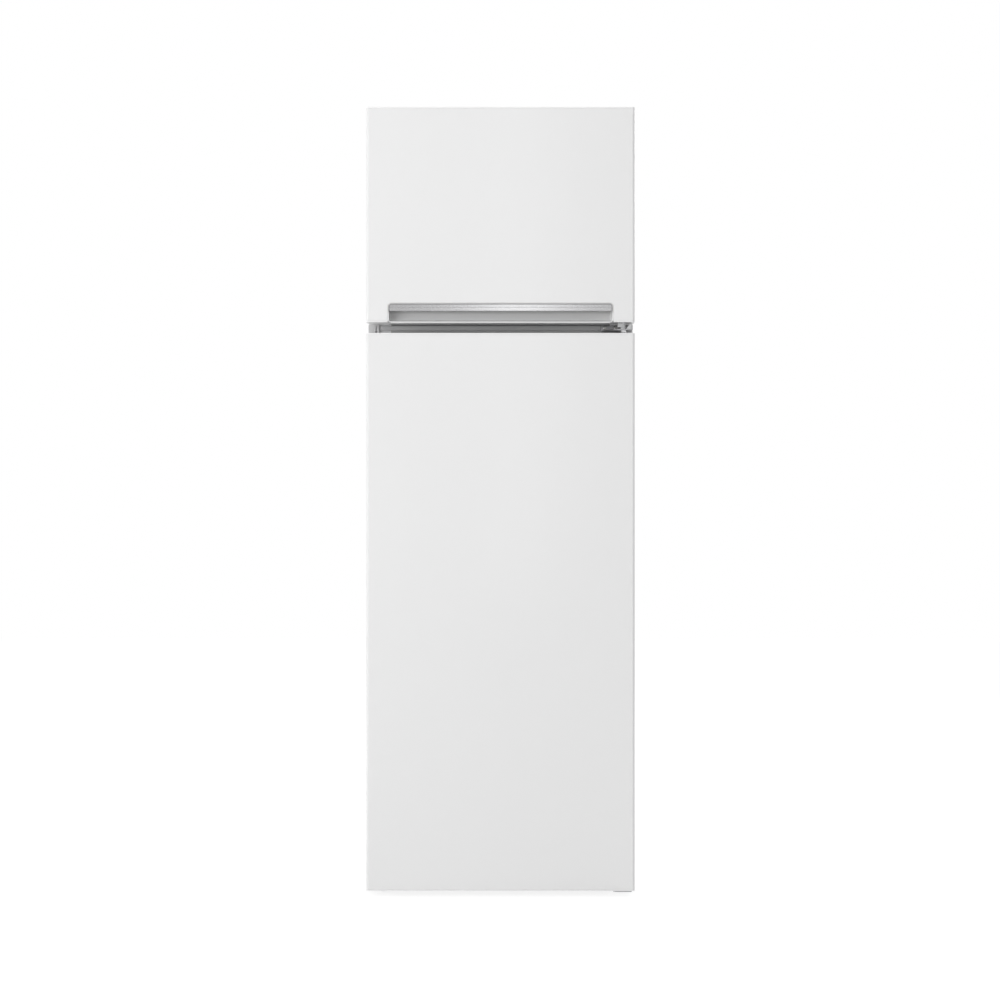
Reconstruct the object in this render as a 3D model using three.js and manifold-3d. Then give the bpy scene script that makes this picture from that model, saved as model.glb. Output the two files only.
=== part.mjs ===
// Top-freezer refrigerator: steel case, two doors hinged on the right, fittings and cooling circuit.
// Millimetres, +Z up, the doors face -Y, and the origin is on the floor under the middle of the case.

import * as THREE from 'three';
import { mergeVertices } from 'three/addons/utils/BufferGeometryUtils.js';
import Module from 'manifold-3d';

const wasm = await Module();
wasm.setup();

// ---- Overall size ----
const WIDTH = 595; // across the doors
const HEIGHT = 1752; // floor to the top of the freezer door
const DEPTH = 600; // door fronts to the wall spacers at the back

// ---- Clearances ----
const SEAT_GAP = 0.3; // between pieces that sit against each other
const PIN_PLAY = 0.5; // radial, hinge pins in the doors
const ROLL_PLAY = 0.4; // radial, rollers, knob and switch in their bores
const PAST = 1; // a cutting tool runs this far past what it cuts
const SUNK = 1; // a joined shape starts this far inside its neighbour

// ---- Case ----
const SIDE_REVEAL = 1; // doors stand this far past the case at each side
const STEEL = 0.8; // wrap and back panel sheet
const PLATE = 1; // floor plate and crossbar sheet
const SKIRT_BOTTOM = 22; // lower edge of the wrap
const BASE_Z = 50; // underside of the insulated box
const TOP_DROP = 14; // case top below the door top
const CONDENSER_SPACE = 32; // behind the back panel
const FLANGE_INNER = 51; // wrap's front flange, from the case side inwards
const TOP_FLANGE = 44; // the same at the top
const NICHE_DEPTH = 173;
const NICHE_TOP = 280;
const PANEL_INSET = 1; // back panel inside the wrap's edge
const FLOOR_RETURN = 10; // floor plate's fold behind its front flange
const LIP_STEP = 4; // liner lip round a compartment's mouth

// ---- Doors ----
const DOOR_BOTTOM = 15;
const FREEZER_DOOR_HEIGHT = 476.3;
const PARTING = 24.4; // between the doors
const DOOR_THICKNESS = 53;
const DOOR_CENTRE = 38; // thickness between the dikes
const CORE_FRONT = 5; // front of the shapes that the liner and foam share
const DOOR_SKIN = 0.8;
const DOOR_FRONT_RADIUS = 6;
const DOOR_REAR_RADIUS = 4;
const SKIN_RETURN = 14; // skin folded in at the rear
const LINER_WALL = 1.5;
const DIKE_RISE = 25; // ridge behind the door's rim
const DIKE_WIDTH = 28;
const DIKE_CLEARANCE = 9.5; // ridge to the compartment's walls
const CAP_LIP = 2.5;
const CAP_HEIGHT = 22;
const CAP_WALL = 2;
const CAP_REAR_RADIUS = 2;
const CAP_MIN_RADIUS = 1;

// ---- Gaskets ----
const GASKET_SPACE = 14; // door rim to case front
const GASKET_WIDTH = 18;
const GASKET_FOOT_WIDTH = 10;
const GASKET_FOOT_DEPTH = 6;
const GASKET_SIDE_INSET = 26.5;
const GASKET_PARTING_INSET = 8.3;
const GASKET_TOP_INSET = 20;
const GASKET_BOTTOM_INSET = 49;
const GASKET_LANDING = 3; // from the gasket's inner edge to the opening

// ---- Crossbar's raised rail, and the plastic blocks at its ends ----
const RAIL_RIDGE = { above: 10.2, below: 4, rise: 4 }; // over the lower door, under the upper
const END_CAP = { width: 24, margin: 2.2, rise: 7.5, radius: 1.5, doorEdge: 0.5 };
const END_CAP_SLOT = { inset: 6.5, half: 1.4, depth: 4, above: 6, below: 2.5 };
const END_CAP_HOLE = { radius: 2.6, rise: 4 };

// ---- Hinges ----
const HINGE_INSET_X = 24.5;
const HINGE_INSET_Y = 24;
const PIN_RADIUS = 4.5;
const PIN_LENGTH = 18; // inside a door
const PIN_END_ROOM = 2;
const BOSS_RADIUS = 10;
const HINGE_PLATE = 3;
const HINGE_EYE = 9; // radius of plate round a pin
const HINGE_FLANGE = 3;
const HINGE_NOSE = 2; // plate in front of the eye
const HINGE_CORNER = 4; // cut off the plate's outer front corner
const HINGE_SLANT = { footX: 6, footY: 12, noseX: 22, noseY: 5, tipX: 14 }; // its free edge
const MIDDLE_FLANGE = { gap: 1, below: 2.5, above: 3 }; // beside the block, under and over
const BRACKET_SIDE_INSET = 4; // bracket to the case side
const MIDDLE_PLATE_RISE = 7; // over the fridge door
const MIDDLE_PLATE_REACH = 72; // from the case side inwards
const BOTTOM_PLATE_DROP = 1.5; // under the fridge door
const BOTTOM_FLANGE_TOP = 56;
const COLLAR_RADIUS = 6.5;
const COLLAR_GAP = 1; // collar to the door above or below
const BUSH_LENGTH = 9; // collar under the freezer door
const BOTTOM_COLLAR_GAP = 0.6;
const BOTTOM_PLATE_NARROWER = 12; // than the middle one
const TOP_ARM = { reach: 74, neck: 33, side: 2, front: 5, shoulder: 14, tail: 6 };
const NOTCH_DEPTH = 15.5; // in the freezer door's top cap
const NOTCH_WIDTH = 54;
const NOTCH_FRONT_WALL = 5.5;
const COVER_WALL = 2;
const COVER_WIDTH = 102;
const COVER_LENGTH = 52;
const COVER_SETBACK = 3; // behind the case front
const COVER_TOP_DROP = 1; // below the door top
const COVER_RADIUS = 8;
const COVER_SLOT = { left: 36, right: 5, above: 1.5 }; // for the hinge arm, round the pin

// ---- Compartments ----
const FRIDGE_WALL = 55;
const FREEZER_WALL = 65;
const FRIDGE_REAR_WALL = 53;
const FREEZER_REAR_WALL = 68;
const FRIDGE_FLOOR = 95;
const FREEZER_CEILING_DROP = 48; // from the case top
const STEP_FOAM = 45; // over and ahead of the compressor niche
const RIB_WIDTH = 6;
const RIB_HEIGHT = 9;
const RIB_REAR_STOP = 20; // rib's end to the rear wall
const SHELF_THICKNESS = 4;
const SHELF_SIDE_GAP = 1.5;
const SHELF_COUNT = 3;
const TOP_SHELF_SPACE = 0.6; // over the top shelf, in shelf spacings
const FREEZER_SHELF_LEVEL = 0.5; // of the freezer compartment's height
const REAR_AIR_GAP = 10; // shelves to the cold plate
const COVER_REAR_GAP = 2;
const FREEZER_SHELF_REAR_GAP = 4;
const SHELF_FRONT_SETBACK = 93; // shelf edge behind the case front

// ---- Handle ----
const HANDLE_HALF = 247.6; // half the bar's length
const HANDLE_BAR_BOTTOM = 24.3; // over the door's lower edge
const HANDLE_BAR_HEIGHT = 15.7;
const HANDLE_BAR_DEPTH = 7;
const SCOOP_DEPTH = 32;
const SCOOP_WALL = 2.4;
const SCOOP_RIM = 2;
const SCOOP_EDGE = 0.5;
const SCOOP_LIP = 1.6; // its floor's front edge, level with the door's lower edge
const SCOOP_CORNER = 8; // upper corners of its outline
const SCOOP_CURVE = 20; // height of the concave floor
const SCOOP_CHAMFER = 4;
const SCOOP_FOOT_RADIUS = 3; // lower corners of the recess
const BAR_GROOVE = 0.7;
const BAR_GROOVE_HALF = 1.2;
const BAR_EDGE = { back: 0.9, front: 0.15, height: 1.2 }; // eased long edges
const BAR_FOOT_RADIUS = 2;

// ---- Grip in the fridge door's top cap ----
const GRIP_HALF = 150;
const GRIP_FRONT = 12;
const GRIP_REAR = 36;
const GRIP_DEPTH = 18;

// ---- Door bins ----
const BIN_DEPTH = 96;
const BIN_WALL = 2;
const BIN_RADIUS = 14;
const BIN_REAR_RADIUS = 2;
const BIN_INNER_REAR_RADIUS = 1;
const BIN_FRONT_DROP = 0.3; // of its height
const BIN_DROP_RUN = 12; // low front's length past the corner
const LOWEST_BIN_SPACE = 12; // over the ridge
const TOP_BIN_SPACE = 60; // under the ridge
const LAST_BIN_SHARE = 0.4; // of a spacing, saved over the top bin
const BIN_SIDE_GAP = 1.2;
const BIN_HEIGHT = 78;
const BOTTLE_BIN_HEIGHT = 118;
const LUG_SIZE = 8;
const LUG_LENGTH = 32;

// ---- Drawers ----
const DRAWER_WALL = 2;
const DRAWER_GAP = 4; // between the two drawers
const DRAWER_SIDE_GAP = 8;
const DRAWER_HEADROOM = 8;
const DRAWER_RADIUS = 12;
const DRAWER_GRIP = { share: 0.28, top: 8, bottom: 24 }; // hand slot in its front
const DRAWER_RAIL = { width: 5, height: 6, rearStop: 2 };

// ---- Controls ----
const HOUSING_WIDTH = 190;
const HOUSING_HEIGHT = 38;
const HOUSING_FRONT = 43; // behind the case front
const HOUSING_DEPTH = 125;
const KNOB_RADIUS = 17;
const KNOB_DEPTH = 14;
const KNOB_SHAFT = 3;
const KNOB_X = -58;
const SWITCH_RADIUS = 4;
const SWITCH_X = 62;
const SWITCH_HOLE = 60; // depth of its bore in the housing
const BULB_RADIUS = 12;
const BULB_CAP = { radius: 7, length: 22, shoulder: 26, shoulderRadius: 8 };
const BULB_CENTRE = 42; // from the cap's end to the bulb's widest place
const BULB_STRETCH = 1.35;
const BULB_BEHIND_FRONT = 75; // in the housing
const LAMP_ROOM = { left: 48, right: 52, front: 50, rear: 24, roof: 4 };
const HOUSING_EDGE = { frontRise: 4, frontRun: 6, rearRun: 20, rearRise: 18 };
const SHAFT_HOLE = 26; // depth of the knob's bore
const KNOB_FLANGE = 5;
const KNOB_STEP = 3; // flange wider than the grip
const KNOB_RIDGE_HALF = 3;
const KNOB_RIDGE_RISE = 2;
const KNOB_SHAFT_LENGTH = 22;
const SWITCH_TRAVEL_SPACE = 15; // behind its rear end

// ---- Standing ----
const RAIL_WIDTH = 54;
const RAIL_INSET = 6.5; // from the case side
const RAIL_SHEET = 2;
const RAIL_BOTTOM = 24;
const RAIL_REAR_GAP = 2;
const EAR = { half: 14, drop: 9, lap: 2, corner: 0.5 }; // round each end of an axle
const FOOT_PLATE = { half: 22, sheet: 3 };
const CROSS_BAR_LENGTH = 34;
const REAR_BAR_LENGTH = 30;
const CROSS_BAR_RISE = 2;
const ROLLER_RADIUS = 14;
const ROLLER_WIDTH = 20;
const ROLLER_FROM_BACK = 33;
const ROLLER_EDGE = 1.5;
const AXLE_RADIUS = 4;
const FOOT_RADIUS = 18;
const FOOT_DISC = 7;
const FOOT_STEM = 5;
const FOOT_NUT = 9;
const FOOT_EDGE = { drop: 2, run: 3 };
const FOOT_STEM_END = 5; // below the insulated box
const FOOT_SETBACK = 33; // behind the case front

// ---- Cooling ----
const POT_RADIUS = 70;
const POT_SIDES = 28;
const POT_HEIGHT = 150;
const POT_BELT = 4; // welded belt's reach past the pot
const POT_BACK_SHIFT = 2; // from the middle of the niche
const POT_PLATE = { sheet: 3, pastX: 15, pastY: 14, radius: 12, hole: 7 }; // past the mounts
const POT_STUBS = [[-40, 60], [20, 60], [-18, 74]]; // each pipe's place back and up
const POT_STUB = { radius: 3.2, reach: 26, root: 20 };
const POT_X = 60;
const MOUNT_HEIGHT = 18;
const MOUNT_SPACING_X = 170;
const MOUNT_SPACING_Y = 100;
const MOUNT_NECK = 4;
const MOUNT_CAP = 4;
const MOUNT_RADII = { foot: 12, shoulder: 11, neck: 6.5, cap: 10, tip: 8 };
const MOUNT_NECK_PLAY = 0.5;
const TRAY_SHEET = 2;
const TRAY_EDGE = { side: 1, front: 4, back: 3, height: 12 };
const EVAPORATION_TRAY = { halfX: 105, halfY: 62, height: 28, radius: 12, wall: 2 };
const TUBE_RADIUS = 2.6;
const TUBE_OFFSET = 1; // behind the middle of the space for it
const CONDENSER_PITCH = 92;
const CONDENSER_HALF = 245;
const CONDENSER_BOTTOM = 340;
const CONDENSER_TOP_GAP = 70;
const STRAP_WIDTH = 12;
const STRAP_X = 205;
const STRAP_SHEET = 3;
const STRAP_PAST = 20; // beyond the first and last runs
const PAD_HALF = 14;
const CONDENSER_LEAD = { side: 18, below: 60, corner: 12.7, rise: 5.3 }; // pipe from the niche
const COIL_POCKET = 11;
const COIL_PITCH = 44;
const COIL_MARGIN = 20; // pocket to the liner's walls
const COIL_FRONT_MARGIN = 70;
const COIL_RADIUS = 4;
const RELAY_COVER = { depth: 54, width: 64, height: 48, rise: 30, lap: 10, radius: 5 };
const CORD_INLET = { radius: 4.5, rim: 7.5, proud: 4, depth: 20, back: 14, rise: 14 };
const COLD_PLATE = { half: 165, thickness: 5, height: 300, below: 110, radius: 10 };
const COLD_PLATE_SPACER = { length: 6, radius: 6, insetX: 25, insetZ: 30 };

// ---- Derived places ----
const FRONT_Y = -DEPTH / 2;
const CASE_FRONT = FRONT_Y + DOOR_THICKNESS + GASKET_SPACE;
const CASE_BACK = DEPTH / 2 - CONDENSER_SPACE;
const CASE_HALF = WIDTH / 2 - SIDE_REVEAL;
const CASE_INSIDE = CASE_HALF - STEEL - SEAT_GAP;
const CASE_TOP = HEIGHT - TOP_DROP;
const FRIDGE_DOOR_TOP = HEIGHT - FREEZER_DOOR_HEIGHT - PARTING;
const FRIDGE_DOOR_HEIGHT = FRIDGE_DOOR_TOP - DOOR_BOTTOM;
const FREEZER_DOOR_BOTTOM = HEIGHT - FREEZER_DOOR_HEIGHT;
const FLANGE_X = CASE_HALF - FLANGE_INNER;
const HINGE_X = WIDTH / 2 - HINGE_INSET_X;
const HINGE_Y = FRONT_Y + HINGE_INSET_Y;
const NICHE_FRONT = CASE_BACK - NICHE_DEPTH;
const FOOT_Y = CASE_FRONT + FOOT_SETBACK;

const GASKET_TO_OPENING = GASKET_PARTING_INSET + GASKET_WIDTH + GASKET_LANDING;
const FRIDGE = {
  half: CASE_HALF - FRIDGE_WALL,
  back: CASE_BACK - FRIDGE_REAR_WALL,
  floor: FRIDGE_FLOOR,
  ceiling: FRIDGE_DOOR_TOP - GASKET_TO_OPENING,
};
const FREEZER = {
  half: CASE_HALF - FREEZER_WALL,
  back: CASE_BACK - FREEZER_REAR_WALL,
  floor: FREEZER_DOOR_BOTTOM + GASKET_TO_OPENING,
  ceiling: CASE_TOP - FREEZER_CEILING_DROP,
};
const STEP_FRONT = NICHE_FRONT - STEP_FOAM;
const STEP_TOP = NICHE_TOP + STEP_FOAM;
const SHELF_FRONT = CASE_FRONT + SHELF_FRONT_SETBACK;
const COVER_SHELF_Z = STEP_TOP + SEAT_GAP;

// ---- Materials ----
function finish(color, roughness, metalness = 0) {
  return new THREE.MeshStandardMaterial({ color, roughness, metalness });
}
const MATERIAL = {
  doorPaint: finish(0xe8e8e9, 0.35),
  casePaint: finish(0xdfe0e1, 0.4),
  whitePlastic: finish(0xf0f1f2, 0.45),
  greyPlastic: finish(0xb4b6b8, 0.5),
  liner: finish(0xf4f5f5, 0.35),
  foam: finish(0xe6d9a8, 0.9),
  chrome: finish(0xd4d6d8, 0.18, 1),
  steel: finish(0xa9acae, 0.35, 1),
  blackSteel: finish(0x1d1e20, 0.5, 0.4),
  blackPlastic: finish(0x222325, 0.6),
  rubber: finish(0xd9dadb, 0.7),
  darkRubber: finish(0x2a2b2c, 0.8),
  glass: finish(0xd6ebe6, 0.08),
  clearPlastic: finish(0xdde8ee, 0.15),
  aluminium: finish(0xc5c8ca, 0.4, 1),
};

// ---- Solids ----
function toSolid(geometry) {
  const bare = geometry.clone();
  bare.deleteAttribute('normal');
  bare.deleteAttribute('uv');
  const merged = mergeVertices(bare, 1e-4);
  return new wasm.Manifold(new wasm.Mesh({
    numProp: 3,
    vertProperties: Float32Array.from(merged.attributes.position.array),
    triVerts: Uint32Array.from(merged.index.array),
  }));
}

function toGeometry(solid) {
  const mesh = solid.getMesh();
  const geometry = new THREE.BufferGeometry();
  geometry.setAttribute('position', new THREE.BufferAttribute(mesh.vertProperties, 3));
  geometry.setIndex(new THREE.BufferAttribute(mesh.triVerts, 1));
  geometry.computeVertexNormals();
  return geometry;
}

// A box between two values on each axis.
function block([x0, x1], [y0, y1], [z0, z1]) {
  const geometry = new THREE.BoxGeometry(x1 - x0, y1 - y0, z1 - z0);
  geometry.translate((x0 + x1) / 2, (y0 + y1) / 2, (z0 + z1) / 2);
  return toSolid(geometry);
}

// An outline extruded along an axis. Its own two directions are X,Y for z; Y,Z for x; X,Z for y.
const TURN = {
  z: new THREE.Matrix4(),
  x: new THREE.Matrix4().makeBasis(
    new THREE.Vector3(0, 1, 0), new THREE.Vector3(0, 0, 1), new THREE.Vector3(1, 0, 0)),
  y: new THREE.Matrix4().makeBasis(
    new THREE.Vector3(1, 0, 0), new THREE.Vector3(0, 0, 1), new THREE.Vector3(0, -1, 0)),
};

function prism(axis, shape, from, to, curveSegments = 5) {
  const geometry = new THREE.ExtrudeGeometry(shape, {
    depth: to - from, bevelEnabled: false, curveSegments, steps: 1,
  });
  geometry.applyMatrix4(TURN[axis]);
  const shift = { x: [from, 0, 0], y: [0, to, 0], z: [0, 0, from] }[axis];
  geometry.translate(...shift);
  return toSolid(geometry);
}

function polygon(points) {
  return new THREE.Shape(points.map(([u, v]) => new THREE.Vector2(u, v)));
}

// A rectangle with its own radius at each corner: low-left, low-right, high-right, high-left.
function roundedRect(u0, u1, v0, v1, radii) {
  const [a, b, c, d] = Array.isArray(radii) ? radii : [radii, radii, radii, radii];
  const shape = new THREE.Shape();
  shape.moveTo(u0 + a, v0);
  shape.lineTo(u1 - b, v0);
  shape.absarc(u1 - b, v0 + b, b, -Math.PI / 2, 0);
  shape.lineTo(u1, v1 - c);
  shape.absarc(u1 - c, v1 - c, c, 0, Math.PI / 2);
  shape.lineTo(u0 + d, v1);
  shape.absarc(u0 + d, v1 - d, d, Math.PI / 2, Math.PI);
  shape.lineTo(u0, v0 + a);
  shape.absarc(u0 + a, v0 + a, a, Math.PI, 1.5 * Math.PI);
  return shape;
}

// A round bar along an axis; its centre is given on the other two axes in X, Y, Z order.
function rod(axis, radius, from, to, [u, v], sides = 20) {
  const geometry = new THREE.CylinderGeometry(radius, radius, to - from, sides);
  const middle = (from + to) / 2;
  if (axis === 'z') {
    geometry.rotateX(Math.PI / 2);
    geometry.translate(u, v, middle);
  } else if (axis === 'x') {
    geometry.rotateZ(Math.PI / 2);
    geometry.translate(middle, u, v);
  } else {
    geometry.translate(u, middle, v);
  }
  return toSolid(geometry);
}

// A turned piece about Z from [radius, height] pairs that start and end on the axis.
function turned(profile, sides = 24) {
  const geometry = new THREE.LatheGeometry(profile.map(([r, z]) => new THREE.Vector2(r, z)), sides);
  geometry.rotateX(Math.PI / 2);
  return toSolid(geometry);
}

function union(...solids) {
  return solids.reduce((sum, solid) => sum.add(solid));
}

function cut(solid, ...tools) {
  return tools.reduce((left, tool) => left.subtract(tool), solid);
}

// A rectangular picture frame that faces Y.
function frameY([x0, x1], [y0, y1], [z0, z1], width) {
  return cut(
    block([x0, x1], [y0, y1], [z0, z1]),
    block([x0 + width, x1 - width], [y0 - 1, y1 + 1], [z0 + width, z1 - width]),
  );
}

// A route through given points, sampled only at those points.
class Route extends THREE.Curve {
  constructor(points) {
    super();
    this.points = points;
  }

  getPoint(t, target = new THREE.Vector3()) {
    const last = this.points.length - 1;
    const place = Math.min(Math.max(t, 0), 1) * last;
    const index = Math.min(Math.floor(place), last - 1);
    return target.lerpVectors(this.points[index], this.points[index + 1], place - index);
  }

  getUtoTmapping(u) {
    return u;
  }
}

function tube(points, radius, sides = 6) {
  const section = new THREE.Shape();
  section.absarc(0, 0, radius, 0, 2 * Math.PI);
  const ring = new THREE.Shape(section.getPoints(sides / 2).slice(0, -1));
  return new THREE.ExtrudeGeometry(ring, {
    extrudePath: new Route(points), steps: points.length - 1, bevelEnabled: false,
  });
}

// Runs along X joined by half-round bends, climbing along the second direction of place(x, s).
function serpentine(half, start, pitch, runs, place, bendSteps = 6) {
  const points = [];
  const radius = pitch / 2;
  for (let run = 0; run < runs; run += 1) {
    const side = run % 2 === 0 ? 1 : -1;
    const climb = start + run * pitch;
    if (run === 0) {
      points.push(place(-side * (half - radius), climb));
    }
    points.push(place(side * (half - radius), climb));
    if (run < runs - 1) {
      for (let step = 1; step <= bendSteps; step += 1) {
        const angle = -Math.PI / 2 + (Math.PI * step) / bendSteps;
        const x = side * (half - radius + radius * Math.cos(angle));
        points.push(place(x, climb + radius + radius * Math.sin(angle)));
      }
    }
  }
  return points;
}

function add(group, name, shape, material, position = [0, 0, 0]) {
  const geometry = shape.isBufferGeometry ? shape : toGeometry(shape);
  const mesh = new THREE.Mesh(geometry, material);
  mesh.name = name;
  mesh.position.set(...position);
  group.add(mesh);
  return mesh;
}

// ---- Case ----
// Painted steel bent round the sides and top, with a flange folded in at the front.
function outerWrap() {
  const body = block([-CASE_HALF, CASE_HALF], [CASE_FRONT, CASE_BACK], [SKIRT_BOTTOM, CASE_TOP]);
  const hollow = block(
    [-CASE_HALF + STEEL, CASE_HALF - STEEL],
    [CASE_FRONT + STEEL, CASE_BACK + PAST],
    [SKIRT_BOTTOM - PAST, CASE_TOP - STEEL],
  );
  const mouth = block(
    [-FLANGE_X, FLANGE_X], [CASE_FRONT - PAST, CASE_FRONT + STEEL + PAST],
    [SKIRT_BOTTOM - PAST, CASE_TOP - TOP_FLANGE],
  );
  return cut(body, hollow, mouth);
}

// One sheet bent into floor, riser and ceiling of the niche, with an upturned front flange.
function floorPlate() {
  const flangeTop = FRIDGE.floor - LIP_STEP;
  const inside = FLANGE_X - SEAT_GAP;
  return union(
    block([-inside, inside], [CASE_FRONT, CASE_FRONT + PLATE], [BASE_Z, flangeTop - SEAT_GAP]),
    block([-inside, inside], [CASE_FRONT, CASE_FRONT + FLOOR_RETURN], [BASE_Z, BASE_Z + PLATE]),
    block([-CASE_INSIDE, CASE_INSIDE], [CASE_FRONT + STEEL + SEAT_GAP, NICHE_FRONT],
      [BASE_Z, BASE_Z + PLATE]),
    block([-CASE_INSIDE, CASE_INSIDE], [NICHE_FRONT - PLATE, NICHE_FRONT], [BASE_Z, NICHE_TOP]),
    block([-CASE_INSIDE, CASE_INSIDE], [NICHE_FRONT - PLATE, CASE_BACK],
      [NICHE_TOP - PLATE, NICHE_TOP]),
  );
}

function backPanel() {
  const inside = CASE_HALF - PANEL_INSET;
  return block(
    [-inside, inside], [CASE_BACK + SEAT_GAP, CASE_BACK + SEAT_GAP + STEEL],
    [NICHE_TOP - PLATE, CASE_TOP - PANEL_INSET],
  );
}

// The space inside a compartment, grown outwards by a wall thickness.
function compartmentSpace(room, grow, mouth) {
  return block(
    [-room.half - grow, room.half + grow], [mouth, room.back + grow],
    [room.floor - grow, room.ceiling + grow],
  );
}

// The raised floor over the compressor niche, inside the fridge compartment.
function stepBlock(grow) {
  return block(
    [-FRIDGE.half - FRIDGE_WALL, FRIDGE.half + FRIDGE_WALL],
    [STEP_FRONT + grow, FRIDGE.back + FRIDGE_REAR_WALL],
    [FRIDGE.floor - FRIDGE_WALL, STEP_TOP - grow],
  );
}

function fridgeShape(grow, mouth) {
  return cut(compartmentSpace(FRIDGE, grow, mouth), stepBlock(grow));
}

// The lip round a liner's mouth, which reaches the wrap's flange and the crossbar.
function linerLip(room) {
  const reach = FLANGE_X - SEAT_GAP;
  return cut(
    block([-reach, reach], [CASE_FRONT, CASE_FRONT + LINER_WALL],
      [room.floor - LIP_STEP + SEAT_GAP, room.ceiling + LIP_STEP - SEAT_GAP]),
    block([-room.half, room.half], [CASE_FRONT - PAST, CASE_FRONT + LINER_WALL + PAST],
      [room.floor, room.ceiling]),
  );
}

function shelfHeights() {
  const room = FRIDGE.ceiling - HOUSING_HEIGHT - COVER_SHELF_Z;
  const pitch = room / (SHELF_COUNT + TOP_SHELF_SPACE);
  return Array.from({ length: SHELF_COUNT }, (_, i) => COVER_SHELF_Z + pitch * (i + 1));
}

function ribPair(room, top, back) {
  const ribs = [-1, 1].map((side) => {
    const inner = side * (room.half - RIB_WIDTH);
    const outer = side * (room.half + LINER_WALL / 2);
    return block([Math.min(inner, outer), Math.max(inner, outer)], [SHELF_FRONT, back],
      [top - RIB_HEIGHT - SEAT_GAP, top - SEAT_GAP]);
  });
  return union(...ribs);
}

function fridgeLiner() {
  const shell = cut(
    union(fridgeShape(LINER_WALL, CASE_FRONT), linerLip(FRIDGE)),
    fridgeShape(0, CASE_FRONT - PAST),
  );
  const ribs = shelfHeights().map((top) => ribPair(FRIDGE, top, FRIDGE.back - RIB_REAR_STOP));
  const coverRibs = ribPair(FRIDGE, COVER_SHELF_Z, STEP_FRONT + LINER_WALL);
  return union(shell, coverRibs, ...ribs);
}

const FREEZER_SHELF_Z = FREEZER.floor + (FREEZER.ceiling - FREEZER.floor) * FREEZER_SHELF_LEVEL;

function freezerLiner() {
  const shell = cut(
    union(compartmentSpace(FREEZER, LINER_WALL, CASE_FRONT), linerLip(FREEZER)),
    compartmentSpace(FREEZER, 0, CASE_FRONT - PAST),
  );
  return union(shell, ribPair(FREEZER, FREEZER_SHELF_Z, FREEZER.back - RIB_REAR_STOP));
}

function cabinetFoam() {
  const gap = LINER_WALL + SEAT_GAP;
  const skin = Math.max(STEEL, LINER_WALL, PLATE) + SEAT_GAP;
  const inner = CASE_INSIDE;
  const body = block([-inner, inner], [CASE_FRONT + skin, CASE_BACK],
    [BASE_Z + PLATE + SEAT_GAP, CASE_TOP - STEEL - SEAT_GAP]);
  const niche = block([-inner - PAST, inner + PAST],
    [NICHE_FRONT - PLATE - SEAT_GAP, CASE_BACK + PAST],
    [BASE_Z - PAST, NICHE_TOP + SEAT_GAP]);
  const coilPocket = block(
    [-FREEZER.half + COIL_MARGIN, FREEZER.half - COIL_MARGIN],
    [CASE_FRONT + COIL_FRONT_MARGIN, FREEZER.back - COIL_MARGIN],
    [FREEZER.floor - gap - COIL_POCKET, FREEZER.floor],
  );
  return cut(body, niche, fridgeShape(gap, CASE_FRONT - PAST),
    compartmentSpace(FREEZER, gap, CASE_FRONT - PAST), coilPocket);
}

// Steel bar across the case front between the two compartments, with a raised rail along it.
function crossbar() {
  const reach = FLANGE_X - SEAT_GAP;
  const bar = block([-reach, reach], [CASE_FRONT, CASE_FRONT + PLATE],
    [FRIDGE.ceiling + LIP_STEP, FREEZER.floor - LIP_STEP]);
  const left = -CASE_HALF + END_CAP.doorEdge + END_CAP.width + SEAT_GAP;
  const right = CASE_HALF - MIDDLE_PLATE_REACH - SEAT_GAP;
  const height = [FRIDGE_DOOR_TOP + RAIL_RIDGE.above, FREEZER_DOOR_BOTTOM - RAIL_RIDGE.below];
  const back = CASE_FRONT - SEAT_GAP;
  return union(
    bar,
    block([left, right], [back - RAIL_RIDGE.rise, back], height),
    block([-reach, right], [back - SUNK, CASE_FRONT + PLATE / 2], height),
  );
}

// Plastic block that closes each end of the crossbar in the parting.
function crossbarEndCap(side) {
  const outer = side * (CASE_HALF - END_CAP.doorEdge);
  const inner = outer - side * END_CAP.width;
  const plateTop = MIDDLE_PLATE_RISE + HINGE_PLATE + SEAT_GAP; // the right one stands on the hinge
  const z0 = FRIDGE_DOOR_TOP + (side > 0 ? plateTop : END_CAP.margin);
  const z1 = FREEZER_DOOR_BOTTOM - END_CAP.margin;
  const y0 = CASE_FRONT - SEAT_GAP - END_CAP.rise;
  const outline = roundedRect(Math.min(outer, inner), Math.max(outer, inner), z0, z1, END_CAP.radius);
  const body = prism('y', outline, y0, CASE_FRONT - SEAT_GAP, 2);
  const x = inner + side * END_CAP_SLOT.inset;
  const depth = [y0 - PAST, y0 + END_CAP_SLOT.depth];
  const slot = block([x - END_CAP_SLOT.half, x + END_CAP_SLOT.half], depth,
    [z0 + END_CAP_SLOT.above, z1 - END_CAP_SLOT.below]);
  const hole = rod('y', END_CAP_HOLE.radius, ...depth, [x, z0 + END_CAP_HOLE.rise], 10);
  return cut(body, slot, hole);
}

// ---- Hinges ----
function flangeBlock(x0, x1, z0, z1) {
  const y1 = CASE_FRONT - SEAT_GAP;
  return block([x0, x1], [y1 - HINGE_FLANGE, y1], [z0, z1]);
}

// A plate that runs from the case front to the pin, slanted at its free end.
function hingePlate(reach, z0) {
  const right = CASE_HALF - BRACKET_SIDE_INSET;
  const left = CASE_HALF - reach;
  const front = HINGE_Y - HINGE_EYE - HINGE_NOSE;
  const back = CASE_FRONT - SEAT_GAP;
  const outline = polygon([
    [left, back],
    [left + HINGE_SLANT.footX, CASE_FRONT - HINGE_SLANT.footY],
    [HINGE_X - HINGE_SLANT.noseX, front + HINGE_SLANT.noseY],
    [HINGE_X - HINGE_SLANT.tipX, front],
    [right - HINGE_CORNER, front],
    [right, front + HINGE_CORNER],
    [right, back],
  ]);
  return prism('z', outline, z0, z0 + HINGE_PLATE);
}

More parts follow.
